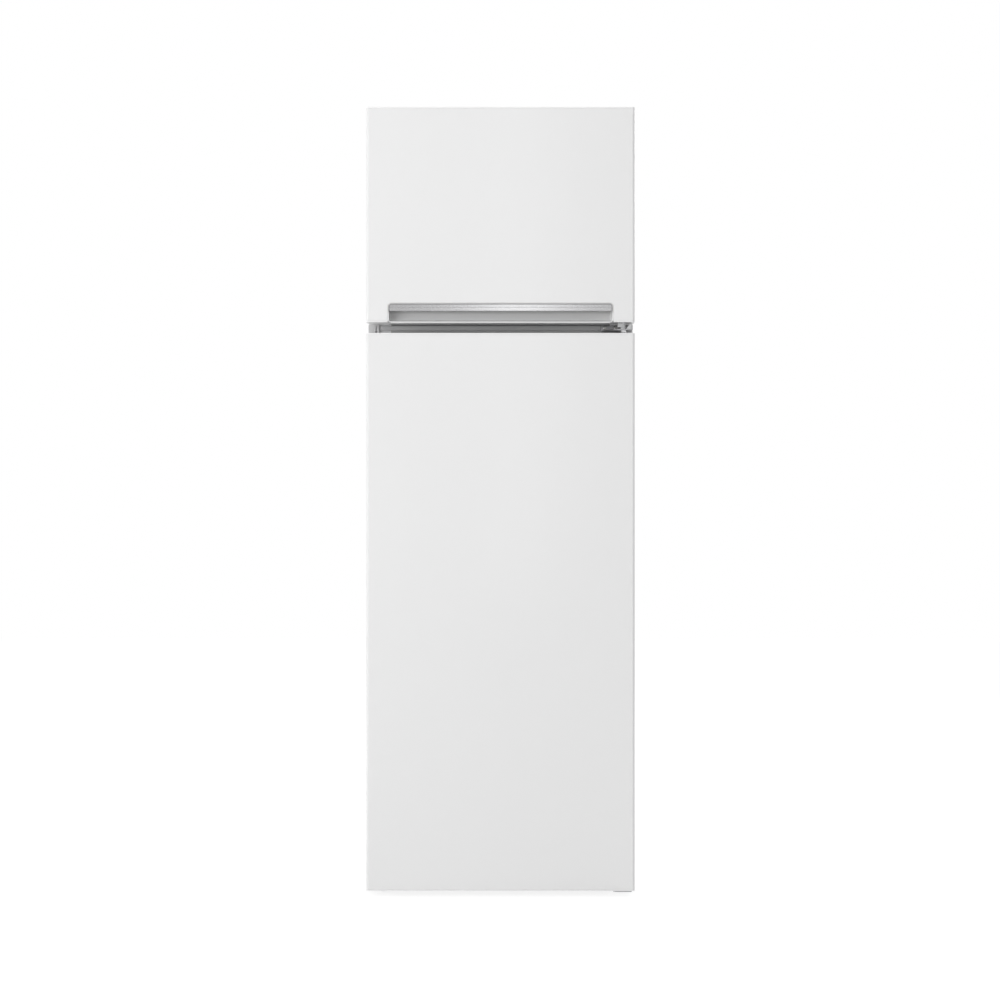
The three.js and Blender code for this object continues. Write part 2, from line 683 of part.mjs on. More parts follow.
function middleHinge() {
  const z0 = FRIDGE_DOOR_TOP + MIDDLE_PLATE_RISE;
  const axis = [HINGE_X, HINGE_Y];
  return union(
    hingePlate(MIDDLE_PLATE_REACH, z0),
    flangeBlock(CASE_HALF - MIDDLE_PLATE_REACH, CASE_HALF - END_CAP.width - MIDDLE_FLANGE.gap,
      z0 - MIDDLE_FLANGE.below, FREEZER_DOOR_BOTTOM - MIDDLE_FLANGE.above),
    rod('z', PIN_RADIUS, FRIDGE_DOOR_TOP - PIN_LENGTH, FREEZER_DOOR_BOTTOM + PIN_LENGTH, axis),
    rod('z', COLLAR_RADIUS, FREEZER_DOOR_BOTTOM - COLLAR_GAP - BUSH_LENGTH,
      FREEZER_DOOR_BOTTOM - COLLAR_GAP, axis),
    rod('z', COLLAR_RADIUS, FRIDGE_DOOR_TOP + COLLAR_GAP, z0 + SUNK, axis),
  );
}

function bottomHinge() {
  const z0 = DOOR_BOTTOM - BOTTOM_PLATE_DROP - HINGE_PLATE;
  const reach = MIDDLE_PLATE_REACH - BOTTOM_PLATE_NARROWER;
  const axis = [HINGE_X, HINGE_Y];
  return union(
    hingePlate(reach, z0),
    flangeBlock(CASE_HALF - reach, CASE_HALF - BRACKET_SIDE_INSET, z0, BOTTOM_FLANGE_TOP),
    rod('z', PIN_RADIUS, z0 + SUNK, DOOR_BOTTOM + PIN_LENGTH, axis),
    rod('z', COLLAR_RADIUS, z0 + SUNK, DOOR_BOTTOM - BOTTOM_COLLAR_GAP, axis),
  );
}

const TOP_PLATE_Z = CASE_TOP + SEAT_GAP;

function topHinge() {
  const rear = CASE_FRONT + COVER_LENGTH - TOP_ARM.tail;
  const right = HINGE_X + TOP_ARM.side;
  const outline = polygon([
    [HINGE_X - HINGE_EYE, HINGE_Y],
    [HINGE_X + HINGE_EYE, HINGE_Y],
    [right, CASE_FRONT + TOP_ARM.front],
    [right, rear],
    [HINGE_X - TOP_ARM.reach, rear],
    [HINGE_X - TOP_ARM.reach, CASE_FRONT + TOP_ARM.shoulder],
    [HINGE_X - TOP_ARM.neck, CASE_FRONT + TOP_ARM.front],
  ]);
  const plateTop = TOP_PLATE_Z + HINGE_PLATE;
  return union(
    prism('z', outline, TOP_PLATE_Z, plateTop),
    rod('z', HINGE_EYE, TOP_PLATE_Z, plateTop, [HINGE_X, HINGE_Y]),
    rod('z', PIN_RADIUS, HEIGHT - NOTCH_DEPTH - PIN_LENGTH, TOP_PLATE_Z + SUNK, [HINGE_X, HINGE_Y]),
  );
}

function topHingeCover() {
  const x1 = CASE_HALF - BRACKET_SIDE_INSET;
  const x0 = x1 - COVER_WIDTH;
  const y0 = CASE_FRONT + COVER_SETBACK;
  const y1 = y0 + COVER_LENGTH;
  const z0 = CASE_TOP + SEAT_GAP;
  const z1 = HEIGHT - COVER_TOP_DROP;
  const w = COVER_WALL;
  const shell = cut(
    prism('z', roundedRect(x0, x1, y0, y1, COVER_RADIUS), z0, z1),
    prism('z', roundedRect(x0 + w, x1 - w, y0 + w, y1 - w, COVER_RADIUS - w), z0 - PAST, z1 - w),
  );
  const armSlot = block([HINGE_X - COVER_SLOT.left, HINGE_X + COVER_SLOT.right],
    [y0 - PAST, y0 + w + PAST], [z0 - PAST, z0 + HINGE_PLATE + COVER_SLOT.above]);
  return cut(shell, armSlot);
}

// ---- Doors ----
// Door places: X across, Y back from the door's front, Z up from its lower edge.
const HINGE_LOCAL = [HINGE_X, HINGE_INSET_Y];

function doorOutline(inset, half = WIDTH / 2 - inset) {
  const front = Math.max(DOOR_FRONT_RADIUS - inset, 1);
  const rear = Math.max(DOOR_REAR_RADIUS - inset, 1);
  return roundedRect(-half, half, inset, DOOR_THICKNESS - inset, [front, front, rear, rear]);
}

function doorSkin(height) {
  const z0 = CAP_LIP + SEAT_GAP;
  const z1 = height - CAP_LIP - SEAT_GAP;
  const mouth = WIDTH / 2 - SKIN_RETURN;
  const past = [z0 - PAST, z1 + PAST];
  return cut(
    prism('z', doorOutline(0), z0, z1),
    prism('z', doorOutline(DOOR_SKIN), ...past),
    block([-mouth, mouth], [DOOR_CENTRE, DOOR_THICKNESS + PAST], past),
  );
}

// The door's inner shape: rim, ridge all round and recessed centre, moved inwards by inset.
function doorInside(dike, inset, half, z0, z1) {
  const ridge = block(
    [-dike.half + inset, dike.half - inset], [CORE_FRONT, DOOR_THICKNESS + DIKE_RISE - inset],
    [dike.z0 + inset, dike.z1 - inset],
  );
  const w = DIKE_WIDTH - inset;
  const centre = block(
    [-dike.half + w, dike.half - w],
    [DOOR_CENTRE - inset, DOOR_THICKNESS + DIKE_RISE + PAST],
    [dike.z0 + w, dike.z1 - w],
  );
  const slab = block([-half, half], [CORE_FRONT, DOOR_THICKNESS - inset], [z0, z1]);
  return cut(union(slab, ridge), centre);
}

function doorLiner(height, dike, lugHeights) {
  const half = WIDTH / 2 - SKIN_RETURN - SEAT_GAP;
  const z0 = CAP_LIP + SEAT_GAP;
  const z1 = height - CAP_LIP - SEAT_GAP;
  const shell = cut(
    doorInside(dike, 0, half, z0, z1),
    doorInside(dike, LINER_WALL, half + PAST, z0 - PAST, z1 + PAST),
  );
  const lugs = lugHeights.flatMap((z) => [-1, 1].map((side) => {
    const wall = side * (dike.half - DIKE_WIDTH + LINER_WALL / 2);
    const tip = side * (dike.half - DIKE_WIDTH - LUG_SIZE);
    return block([Math.min(wall, tip), Math.max(wall, tip)],
      [DOOR_CENTRE - LINER_WALL / 2, DOOR_CENTRE + LUG_LENGTH],
      [z - LUG_SIZE - SEAT_GAP, z - SEAT_GAP]);
  }));
  return union(shell, ...lugs);
}

function doorFoam(height, dike, tools) {
  const inset = LINER_WALL + SEAT_GAP;
  const front = DOOR_SKIN + SEAT_GAP;
  const half = WIDTH / 2 - front;
  const z0 = CAP_HEIGHT + SEAT_GAP;
  const z1 = height - CAP_HEIGHT - SEAT_GAP;
  const filled = union(
    doorInside(dike, inset, half, z0, z1),
    block([-half, half], [front, CORE_FRONT + SUNK], [z0, z1]),
  );
  const edges = prism('z', doorOutline(front), z0 - PAST, z1 + PAST);
  const rim = block([-half, half], [-PAST, DOOR_THICKNESS - inset], [z0, z1]).intersect(edges);
  const ridge = filled.intersect(
    block([-dike.half, dike.half], [CORE_FRONT + SUNK, DOOR_THICKNESS + DIKE_RISE], [z0, z1]));
  const w = DIKE_WIDTH - inset;
  const centre = block(
    [-dike.half + w, dike.half - w],
    [DOOR_CENTRE - inset, DOOR_THICKNESS + DIKE_RISE + PAST],
    [dike.z0 + w, dike.z1 - w],
  );
  return cut(union(rim, ridge), centre, ...tools);
}

// An end cap: a flat lip seen as the door's edge, a tray inside the skin, and a hinge boss.
function doorCap(z, up, extra = {}) {
  const span = (from, to) => [Math.min(from, to), Math.max(from, to)];
  const inset = DOOR_SKIN + SEAT_GAP;
  const lipEnd = z + up * CAP_LIP;
  const deep = z + up * CAP_HEIGHT;
  const lip = prism('z', doorOutline(0), ...span(z, lipEnd));
  const tray = prism('z', trayOutline(inset, 0), ...span(z, deep));
  const hollow = prism('z', trayOutline(inset + CAP_WALL, CAP_WALL), ...span(lipEnd, deep + up * PAST));
  const boss = rod('z', BOSS_RADIUS, ...span(z, deep), HINGE_LOCAL);
  const body = union(cut(tray, hollow), lip, boss, ...(extra.solids ?? []));
  const boreEnd = (extra.boreStart ?? z) + up * (PIN_LENGTH + PIN_END_ROOM);
  const bore = rod('z', PIN_RADIUS + PIN_PLAY, ...span(z - up * PAST, boreEnd), HINGE_LOCAL);
  return cut(body, bore, ...(extra.tools ?? []));
}

function trayOutline(inset, wall) {
  const half = WIDTH / 2 - inset;
  const front = Math.max(DOOR_FRONT_RADIUS - inset, CAP_MIN_RADIUS);
  return roundedRect(-half, half, inset, DOOR_THICKNESS - LINER_WALL - SEAT_GAP - wall,
    [front, front, CAP_REAR_RADIUS, CAP_REAR_RADIUS]);
}

function doorGasket(height, below, above) {
  const x = WIDTH / 2 - GASKET_SIDE_INSET;
  const y0 = DOOR_THICKNESS + SEAT_GAP;
  const y1 = DOOR_THICKNESS + GASKET_SPACE - SEAT_GAP;
  const shift = (GASKET_WIDTH - GASKET_FOOT_WIDTH) / 2;
  const foot = frameY([-x + shift, x - shift], [y0, y0 + GASKET_FOOT_DEPTH + SUNK],
    [below + shift, height - above - shift], GASKET_FOOT_WIDTH);
  const head = frameY([-x, x], [y0 + GASKET_FOOT_DEPTH, y1], [below, height - above], GASKET_WIDTH);
  return union(foot, head);
}

// ---- Handle ----
const SCOOP_TOP = HANDLE_BAR_BOTTOM + HANDLE_BAR_HEIGHT + SEAT_GAP + SCOOP_RIM;
const SCOOP_HALF = HANDLE_HALF + SEAT_GAP + SCOOP_RIM;

// The recess under and behind the bar: a concave floor that rises to a wall behind the bar.
function scoopHollow() {
  const back = SCOOP_DEPTH - SCOOP_WALL;
  const top = SCOOP_TOP - SCOOP_RIM;
  const shape = new THREE.Shape();
  shape.moveTo(-PAST, SCOOP_LIP);
  shape.lineTo(0, SCOOP_LIP);
  shape.ellipse(0, SCOOP_CURVE, back, SCOOP_CURVE, -Math.PI / 2, 0);
  shape.lineTo(back, top - SCOOP_CHAMFER);
  shape.lineTo(back - SCOOP_CHAMFER, top);
  shape.lineTo(-PAST, top);
  const half = HANDLE_HALF + SEAT_GAP;
  const corner = SCOOP_CORNER - SCOOP_RIM;
  const channel = prism('x', shape, -half, half, 8);
  const ends = prism('y', roundedRect(-half, half, SCOOP_LIP, top,
    [SCOOP_FOOT_RADIUS, SCOOP_FOOT_RADIUS, corner, corner]), -PAST, SCOOP_DEPTH, 4);
  return channel.intersect(ends);
}

// The scoop's outer shape, or the room for it when grown by a gap.
function scoopBody(grow, bottom, front) {
  const half = SCOOP_HALF + grow;
  const corner = SCOOP_CORNER + grow;
  return prism('y', roundedRect(-half, half, bottom, SCOOP_TOP + grow,
    [SCOOP_EDGE, SCOOP_EDGE, corner, corner]), front, SCOOP_DEPTH + grow, 4);
}

function handleScoop() {
  return cut(scoopBody(0, 0, 0), scoopHollow());
}

// A flat bar with a shallow groove along it and rounded upper corners.
function handleBar() {
  const z0 = HANDLE_BAR_BOTTOM;
  const z1 = z0 + HANDLE_BAR_HEIGHT;
  const mid = (z0 + z1) / 2;
  const top = SCOOP_CORNER - SCOOP_RIM - SEAT_GAP;
  const section = polygon([
    [BAR_EDGE.back, z0],
    [HANDLE_BAR_DEPTH, z0],
    [HANDLE_BAR_DEPTH, z1],
    [BAR_EDGE.back, z1],
    [BAR_EDGE.front, z1 - BAR_EDGE.height],
    [0, mid + BAR_GROOVE_HALF],
    [BAR_GROOVE, mid],
    [0, mid - BAR_GROOVE_HALF],
    [BAR_EDGE.front, z0 + BAR_EDGE.height],
  ]);
  const bar = prism('x', section, -HANDLE_HALF, HANDLE_HALF);
  const ends = prism('y', roundedRect(-HANDLE_HALF, HANDLE_HALF, z0, z1,
    [BAR_FOOT_RADIUS, BAR_FOOT_RADIUS, top, top]), -PAST, HANDLE_BAR_DEPTH + PAST, 4);
  return bar.intersect(ends);
}

// ---- Bins and drawers ----
// An open box with rounded front corners. Its origin is the middle of its lower rear edge.
function openBin(width, depth, height, wall, radius, frontDrop) {
  const half = width / 2;
  const outline = (inset, rearRadius) => roundedRect(-half + inset, half - inset,
    -depth + inset, -inset, [radius - inset, radius - inset, rearRadius, rearRadius]);
  const outer = prism('z', outline(0, BIN_REAR_RADIUS), 0, height, 4);
  const inner = prism('z', outline(wall, BIN_INNER_REAR_RADIUS), wall, height + PAST, 4);
  const shell = cut(outer, inner);
  if (frontDrop === 0) {
    return shell;
  }
  return cut(shell, block([-half - PAST, half + PAST], [-depth - PAST, -depth + radius + BIN_DROP_RUN],
    [height - frontDrop, height + PAST]));
}

// A door bin opens up, with its low rail on the side away from the door.
function doorBin(dike, height) {
  const width = 2 * (dike.half - DIKE_WIDTH - BIN_SIDE_GAP);
  const bin = openBin(width, BIN_DEPTH, height, BIN_WALL, BIN_RADIUS, height * BIN_FRONT_DROP);
  return bin.rotate([0, 0, 180]);
}

const DRAWER_BACK = STEP_FRONT - DRAWER_HEADROOM;
const DRAWER_HEIGHT = COVER_SHELF_Z - FRIDGE_FLOOR - DRAWER_HEADROOM;

function crisperDrawer() {
  const width = FRIDGE.half - DRAWER_SIDE_GAP - DRAWER_GAP / 2;
  const depth = DRAWER_BACK - SHELF_FRONT;
  const shell = openBin(width, depth, DRAWER_HEIGHT, DRAWER_WALL, DRAWER_RADIUS, 0);
  const half = width / 2;
  const gripHalf = width * DRAWER_GRIP.share;
  const grip = block([-gripHalf, gripHalf], [-depth - PAST, -depth + DRAWER_WALL + PAST],
    [DRAWER_HEIGHT - DRAWER_GRIP.bottom, DRAWER_HEIGHT - DRAWER_GRIP.top]);
  const rails = [-1, 1].map((side) => {
    const outer = side * half;
    const inner = side * (half - DRAWER_RAIL.width);
    return block([Math.min(outer, inner), Math.max(outer, inner)],
      [-depth + DRAWER_RADIUS, -DRAWER_RAIL.rearStop],
      [DRAWER_HEIGHT - DRAWER_RAIL.height, DRAWER_HEIGHT]);
  });
  return cut(union(shell, ...rails), grip);
}

// ---- Controls under the fridge compartment's ceiling ----
const HOUSING_Y = CASE_FRONT + HOUSING_FRONT;
const HOUSING_TOP = FRIDGE.ceiling - SEAT_GAP;
const HOUSING_MIDDLE = HOUSING_TOP - HOUSING_HEIGHT / 2;

function controlHousing() {
  const half = HOUSING_WIDTH / 2;
  const y1 = HOUSING_Y + HOUSING_DEPTH;
  const z0 = HOUSING_TOP - HOUSING_HEIGHT;
  const body = prism('x', polygon([
    [HOUSING_Y, z0 + HOUSING_EDGE.frontRise],
    [HOUSING_Y + HOUSING_EDGE.frontRun, z0],
    [y1 - HOUSING_EDGE.rearRun, z0],
    [y1, z0 + HOUSING_EDGE.rearRise],
    [y1, HOUSING_TOP],
    [HOUSING_Y, HOUSING_TOP],
  ]), -half, half);
  const lampRoom = block([-LAMP_ROOM.left, LAMP_ROOM.right],
    [HOUSING_Y + LAMP_ROOM.front, y1 - LAMP_ROOM.rear], [z0 - PAST, HOUSING_TOP - LAMP_ROOM.roof]);
  const bore = (radius, depth, x) => rod('y', radius + ROLL_PLAY, HOUSING_Y - PAST,
    HOUSING_Y + depth, [x, HOUSING_MIDDLE], 12);
  return cut(body, lampRoom, bore(KNOB_SHAFT, SHAFT_HOLE, KNOB_X),
    bore(SWITCH_RADIUS, SWITCH_HOLE, SWITCH_X));
}

function lampBulb() {
  const r = BULB_RADIUS;
  const profile = [[0, 0], [BULB_CAP.radius, 0], [BULB_CAP.radius, BULB_CAP.length],
    [BULB_CAP.shoulderRadius, BULB_CAP.shoulder]];
  const steps = 6;
  const first = -0.7; // angle where the shoulder meets the round of the glass
  for (let step = 1; step <= steps; step += 1) {
    const angle = first + (step / steps) * (Math.PI / 2 - first);
    profile.push([Math.max(r * Math.cos(angle), 0), BULB_CENTRE + r * BULB_STRETCH * Math.sin(angle)]);
  }
  return turned(profile, 16).rotate([0, 90, 0]);
}

function thermostatKnob() {
  const grip = KNOB_RADIUS - KNOB_STEP;
  const face = -KNOB_DEPTH + KNOB_RIDGE_RISE;
  const ridgeReach = grip - KNOB_RIDGE_RISE / 4;
  return union(
    rod('y', KNOB_RADIUS, -KNOB_FLANGE, 0, [0, 0], 28),
    rod('y', grip, face, -KNOB_FLANGE + SUNK, [0, 0], 28),
    block([-KNOB_RIDGE_HALF, KNOB_RIDGE_HALF], [-KNOB_DEPTH, face + SUNK], [-ridgeReach, ridgeReach]),
    rod('y', KNOB_SHAFT, -SUNK, KNOB_SHAFT_LENGTH, [0, 0], 12),
  );
}

function lampSwitch() {
  const tip = FRONT_Y + DOOR_THICKNESS + DIKE_RISE + SEAT_GAP;
  const end = HOUSING_Y + SWITCH_HOLE - SWITCH_TRAVEL_SPACE;
  return rod('y', SWITCH_RADIUS, tip, end, [SWITCH_X, HOUSING_MIDDLE], 12);
}

// ---- Standing ----
function baseFrame() {
  const railTop = BASE_Z - SEAT_GAP;
  const outer = CASE_HALF - RAIL_INSET;
  const inner = outer - RAIL_WIDTH;
  const middle = (outer + inner) / 2;
  const y0 = CASE_FRONT + STEEL + SEAT_GAP;
  const axleY = CASE_BACK - ROLLER_FROM_BACK;
  const t = RAIL_SHEET;
  const sides = [-1, 1].map((side) => {
    const span = (a, b) => [Math.min(side * a, side * b), Math.max(side * a, side * b)];
    const channel = cut(
      block(span(inner, outer), [y0, CASE_BACK - RAIL_REAR_GAP], [RAIL_BOTTOM, railTop]),
      block(span(inner + t, outer - t), [y0 + t, CASE_BACK], [RAIL_BOTTOM - PAST, railTop - t]),
    );
    const earShape = roundedRect(axleY - EAR.half, axleY + EAR.half, ROLLER_RADIUS - EAR.drop,
      RAIL_BOTTOM + EAR.lap, [EAR.drop, EAR.drop, EAR.corner, EAR.corner]);
    const ears = [inner, outer - t].map((x) => prism('x', earShape, ...span(x, x + t)));
    const axle = rod('x', AXLE_RADIUS, ...span(inner + t / 2, outer - t / 2),
      [axleY, ROLLER_RADIUS], 12);
    const footPlate = cut(
      block(span(inner + t / 2, outer - t / 2), [FOOT_Y - FOOT_PLATE.half, FOOT_Y + FOOT_PLATE.half],
        [RAIL_BOTTOM, RAIL_BOTTOM + FOOT_PLATE.sheet]),
      rod('z', FOOT_STEM + PIN_PLAY, RAIL_BOTTOM - PAST, RAIL_BOTTOM + FOOT_PLATE.sheet + PAST,
        [side * middle, FOOT_Y], 12),
    );
    return union(channel, ...ears, axle, footPlate);
  });
  const bars = [[y0, y0 + CROSS_BAR_LENGTH], [NICHE_FRONT - REAR_BAR_LENGTH, NICHE_FRONT]];
  const crossBars = bars.map(([a, b]) => cut(
    block([-inner - t / 2, inner + t / 2], [a, b], [RAIL_BOTTOM + CROSS_BAR_RISE, railTop]),
    block([-inner - t, inner + t], [a + t, b - t], [RAIL_BOTTOM, railTop - t]),
  ));
  return union(...sides, ...crossBars);
}

function levellingFoot() {
  const top = RAIL_BOTTOM - SEAT_GAP;
  return union(
    turned([[0, 0], [FOOT_RADIUS, 0], [FOOT_RADIUS, FOOT_DISC - FOOT_EDGE.drop],
      [FOOT_RADIUS - FOOT_EDGE.run, FOOT_DISC], [0, FOOT_DISC]], 24),
    rod('z', FOOT_NUT, FOOT_DISC - SUNK, top, [0, 0], 6),
    rod('z', FOOT_STEM, FOOT_DISC, BASE_Z - FOOT_STEM_END, [0, 0], 12),
  );
}

function rearRoller() {
  const r = ROLLER_RADIUS;
  const bore = AXLE_RADIUS + ROLL_PLAY;
  const half = ROLLER_WIDTH / 2;
  const profile = [
    [bore, -half], [r - ROLLER_EDGE, -half], [r, -half + ROLLER_EDGE],
    [r, half - ROLLER_EDGE], [r - ROLLER_EDGE, half], [bore, half], [bore, -half],
  ];
  const geometry = new THREE.LatheGeometry(profile.map(([a, b]) => new THREE.Vector2(a, b)), 32);
  geometry.rotateZ(Math.PI / 2);
  return toSolid(geometry);
}

// ---- Cooling ----
const TRAY_Z = BASE_Z;
const MOUNT_Z = TRAY_Z + TRAY_SHEET + SEAT_GAP;
const POT_Y = (NICHE_FRONT + CASE_BACK) / 2 + POT_BACK_SHIFT;
const POT_PLATE_Z = MOUNT_Z + MOUNT_HEIGHT - MOUNT_CAP - MOUNT_NECK + MOUNT_NECK_PLAY;
const POT_Z = POT_PLATE_Z + POT_PLATE.sheet - SUNK;
const POT_TOP = POT_Z + POT_HEIGHT;

function mountPlaces() {
  return [[-1, -1], [1, -1], [-1, 1], [1, 1]].map(([u, v]) => [
    POT_X + (u * MOUNT_SPACING_X) / 2, POT_Y + (v * MOUNT_SPACING_Y) / 2,
  ]);
}

function compressorTray() {
  const x = CASE_INSIDE - TRAY_EDGE.side;
  const y0 = NICHE_FRONT + TRAY_EDGE.front;
  const y1 = CASE_BACK - TRAY_EDGE.back;
  const upright = [TRAY_Z, TRAY_Z + TRAY_EDGE.height];
  return union(
    block([-x, x], [y0, y1], [TRAY_Z, TRAY_Z + TRAY_SHEET]),
    block([-x, x], [y0, y0 + TRAY_SHEET], upright),
    block([-x, x], [y1 - TRAY_SHEET, y1], upright),
  );
}

function compressorMount() {
  const { foot, shoulder, neck, cap, tip } = MOUNT_RADII;
  const capZ = MOUNT_HEIGHT - MOUNT_CAP;
  const neckZ = capZ - MOUNT_NECK;
  return turned([[0, 0], [foot, 0], [shoulder, neckZ], [neck, neckZ], [neck, capZ], [cap, capZ],
    [tip, MOUNT_HEIGHT], [0, MOUNT_HEIGHT]], 16);
}

function compressor() {
  const r = POT_RADIUS;
  const h = POT_HEIGHT;
  const belt = h * 0.54;
  const profile = [
    [0, 0], [r * 0.7, 0], [r * 0.93, h * 0.093], [r, h * 0.227], [r, belt - SUNK],
    [r + POT_BELT, belt], [r + POT_BELT, belt + 1.5 * POT_BELT], [r, belt + 1.75 * POT_BELT],
    [r * 0.96, h * 0.747], [r * 0.8, h * 0.92], [r * 0.5, h * 0.98], [0, h],
  ];
  const pot = turned(profile, POT_SIDES).translate([POT_X, POT_Y, POT_Z]);
  const halfX = MOUNT_SPACING_X / 2 + POT_PLATE.pastX;
  const halfY = MOUNT_SPACING_Y / 2 + POT_PLATE.pastY;
  const outline = roundedRect(POT_X - halfX, POT_X + halfX, POT_Y - halfY, POT_Y + halfY,
    POT_PLATE.radius);
  const plate = prism('z', outline, POT_PLATE_Z, POT_PLATE_Z + POT_PLATE.sheet, 3);
  const holes = mountPlaces().map((place) => rod('z', POT_PLATE.hole, POT_PLATE_Z - PAST,
    POT_PLATE_Z + POT_PLATE.sheet + PAST, place, 16));
  const stubs = POT_STUBS.map(([dy, dz]) => rod('x', POT_STUB.radius, POT_X - r - POT_STUB.reach,
    POT_X - POT_STUB.root, [POT_Y + dy, POT_PLATE_Z + dz], 8));
  return union(cut(plate, ...holes), pot, ...stubs);
}

// Terminal and relay box on the pot's right side, with the mains cord's inlet in its outer wall.
function relayCover() {
  const { depth, width, height, rise, lap, radius } = RELAY_COVER;
  const x1 = POT_X + POT_RADIUS + depth - lap;
  const z0 = POT_PLATE_Z + rise;
  const outline = roundedRect(x1 - depth, x1, POT_Y - width / 2, POT_Y + width / 2, radius);
  const body = prism('z', outline, z0, z0 + height, 3);
  const pot = rod('z', POT_RADIUS + SEAT_GAP, z0 - PAST, z0 + height + PAST, [POT_X, POT_Y],
    POT_SIDES);
  const inletPlace = [POT_Y + CORD_INLET.back, z0 + CORD_INLET.rise];
  const inletEnd = x1 + CORD_INLET.proud;
  const inlet = rod('x', CORD_INLET.radius, x1 - CORD_INLET.depth, inletEnd + PAST, inletPlace, 12);
  const rim = rod('x', CORD_INLET.rim, x1 - CORD_INLET.proud, inletEnd, inletPlace, 16);
  return cut(union(body, rim), pot, inlet);
}

function evaporationTray() {
  const { halfX, halfY, height, radius, wall } = EVAPORATION_TRAY;
  const z0 = POT_TOP + SEAT_GAP;
  const outline = (inset) => roundedRect(POT_X - halfX + inset, POT_X + halfX - inset,
    POT_Y - halfY + inset, POT_Y + halfY - inset, radius - inset);
  return cut(
    prism('z', outline(0), z0, z0 + height, 4),
    prism('z', outline(wall), z0 + wall, z0 + height + PAST, 4),
  );
}

const TUBE_Y = CASE_BACK + CONDENSER_SPACE / 2 + TUBE_OFFSET;

function condenserRuns() {
  return Math.floor((CASE_TOP - CONDENSER_TOP_GAP - CONDENSER_BOTTOM) / CONDENSER_PITCH) + 1;
}

function condenserCoil() {
  const place = (x, z) => new THREE.Vector3(x, TUBE_Y, z);
  const points = serpentine(CONDENSER_HALF, CONDENSER_BOTTOM, CONDENSER_PITCH, condenserRuns(), place);
  const start = points[0];
  const { side, below, corner, rise } = CONDENSER_LEAD;
  const lead = [
    place(start.x - side, NICHE_TOP - below),
    place(start.x - side, start.z - side),
    place(start.x - corner, start.z - rise),
  ];
  return tube([...lead, ...points], TUBE_RADIUS, 8);
}

// A strap that stands off the back panel, with spacers that reach the wall plane.
function condenserBracket(side) {
  const x0 = side * STRAP_X - STRAP_WIDTH / 2;
  const x = [x0, x0 + STRAP_WIDTH];
  const top = CONDENSER_BOTTOM + (condenserRuns() - 1) * CONDENSER_PITCH;
  const panel = CASE_BACK + 2 * SEAT_GAP + STEEL;
  const strapBack = TUBE_Y - TUBE_RADIUS - SEAT_GAP;
  const strap = block(x, [strapBack - STRAP_SHEET, strapBack],
    [CONDENSER_BOTTOM - STRAP_PAST, top + STRAP_PAST]);
  const padRuns = [0.5, condenserRuns() - 1.5]; // half-way between the end pairs of runs
  const pads = padRuns.map((run) => {
    const z = CONDENSER_BOTTOM + run * CONDENSER_PITCH;
    return block(x, [panel, DEPTH / 2], [z - PAD_HALF, z + PAD_HALF]);
  });
  return union(strap, ...pads);
}

function freezerEvaporator() {
  const z = FREEZER.floor - LINER_WALL - SEAT_GAP - COIL_RADIUS;
  const place = (x, y) => new THREE.Vector3(x, y, z);
  const y0 = CASE_FRONT + COIL_FRONT_MARGIN + COIL_MARGIN;
  const runs = Math.floor((FREEZER.back - 2 * COIL_MARGIN - y0) / COIL_PITCH) + 1;
  return tube(serpentine(FREEZER.half - 1.5 * COIL_MARGIN, y0, COIL_PITCH, runs, place), COIL_RADIUS, 6);
}

// Aluminium plate on the fridge compartment's rear wall.
function coldPlate() {
  const { half, thickness, height, below, radius } = COLD_PLATE;
  const spacer = COLD_PLATE_SPACER;
  const y1 = FRIDGE.back - SEAT_GAP;
  const z1 = FRIDGE.ceiling - below;
  const plateBack = y1 - spacer.length;
  const plate = prism('y', roundedRect(-half, half, z1 - height, z1, radius),
    plateBack - thickness, plateBack, 3);
  const spacers = [-1, 1].flatMap((u) => [spacer.insetZ, height - spacer.insetZ].map((drop) => rod('y',
    spacer.radius, plateBack - SUNK, y1, [u * (half - spacer.insetX), z1 - drop], 10)));
  return union(plate, ...spacers);
}

// ---- Assembly ----
const fridgeDike = {
  half: FRIDGE.half - DIKE_CLEARANCE,
  z0: FRIDGE.floor + DIKE_CLEARANCE - DOOR_BOTTOM,
  z1: FRIDGE.ceiling - DIKE_CLEARANCE - DOOR_BOTTOM,
};
const freezerDike = {
  half: FREEZER.half - DIKE_CLEARANCE,
  z0: FREEZER.floor + DIKE_CLEARANCE - FREEZER_DOOR_BOTTOM,
  z1: FREEZER.ceiling - DIKE_CLEARANCE - FREEZER_DOOR_BOTTOM,
};

function binHeights(dike, count) {
  const bottom = dike.z0 + DIKE_WIDTH + LUG_SIZE + LOWEST_BIN_SPACE;
  const top = dike.z1 - DIKE_WIDTH - TOP_BIN_SPACE;
  const pitch = (top - bottom) / (count - LAST_BIN_SHARE);
  return Array.from({ length: count }, (_, i) => bottom + pitch * i);
}

function addDoor(group, prefix, height, dike, gasket, caps, lugHeights, foamTools, skinTools) {
  add(group, `${prefix}_skin`, cut(doorSkin(height), ...skinTools), MATERIAL.doorPaint);
  add(group, `${prefix}_foam`, doorFoam(height, dike, foamTools), MATERIAL.foam);
  add(group, `${prefix}_liner`, cut(doorLiner(height, dike, lugHeights), ...skinTools), MATERIAL.liner);
  add(group, `${prefix}_top_cap`, doorCap(height, -1, caps.top), MATERIAL.whitePlastic);
  add(group, `${prefix}_bottom_cap`, doorCap(0, 1, caps.bottom), MATERIAL.whitePlastic);
  add(group, `${prefix}_gasket`, doorGasket(height, gasket.below, gasket.above), MATERIAL.rubber);
}

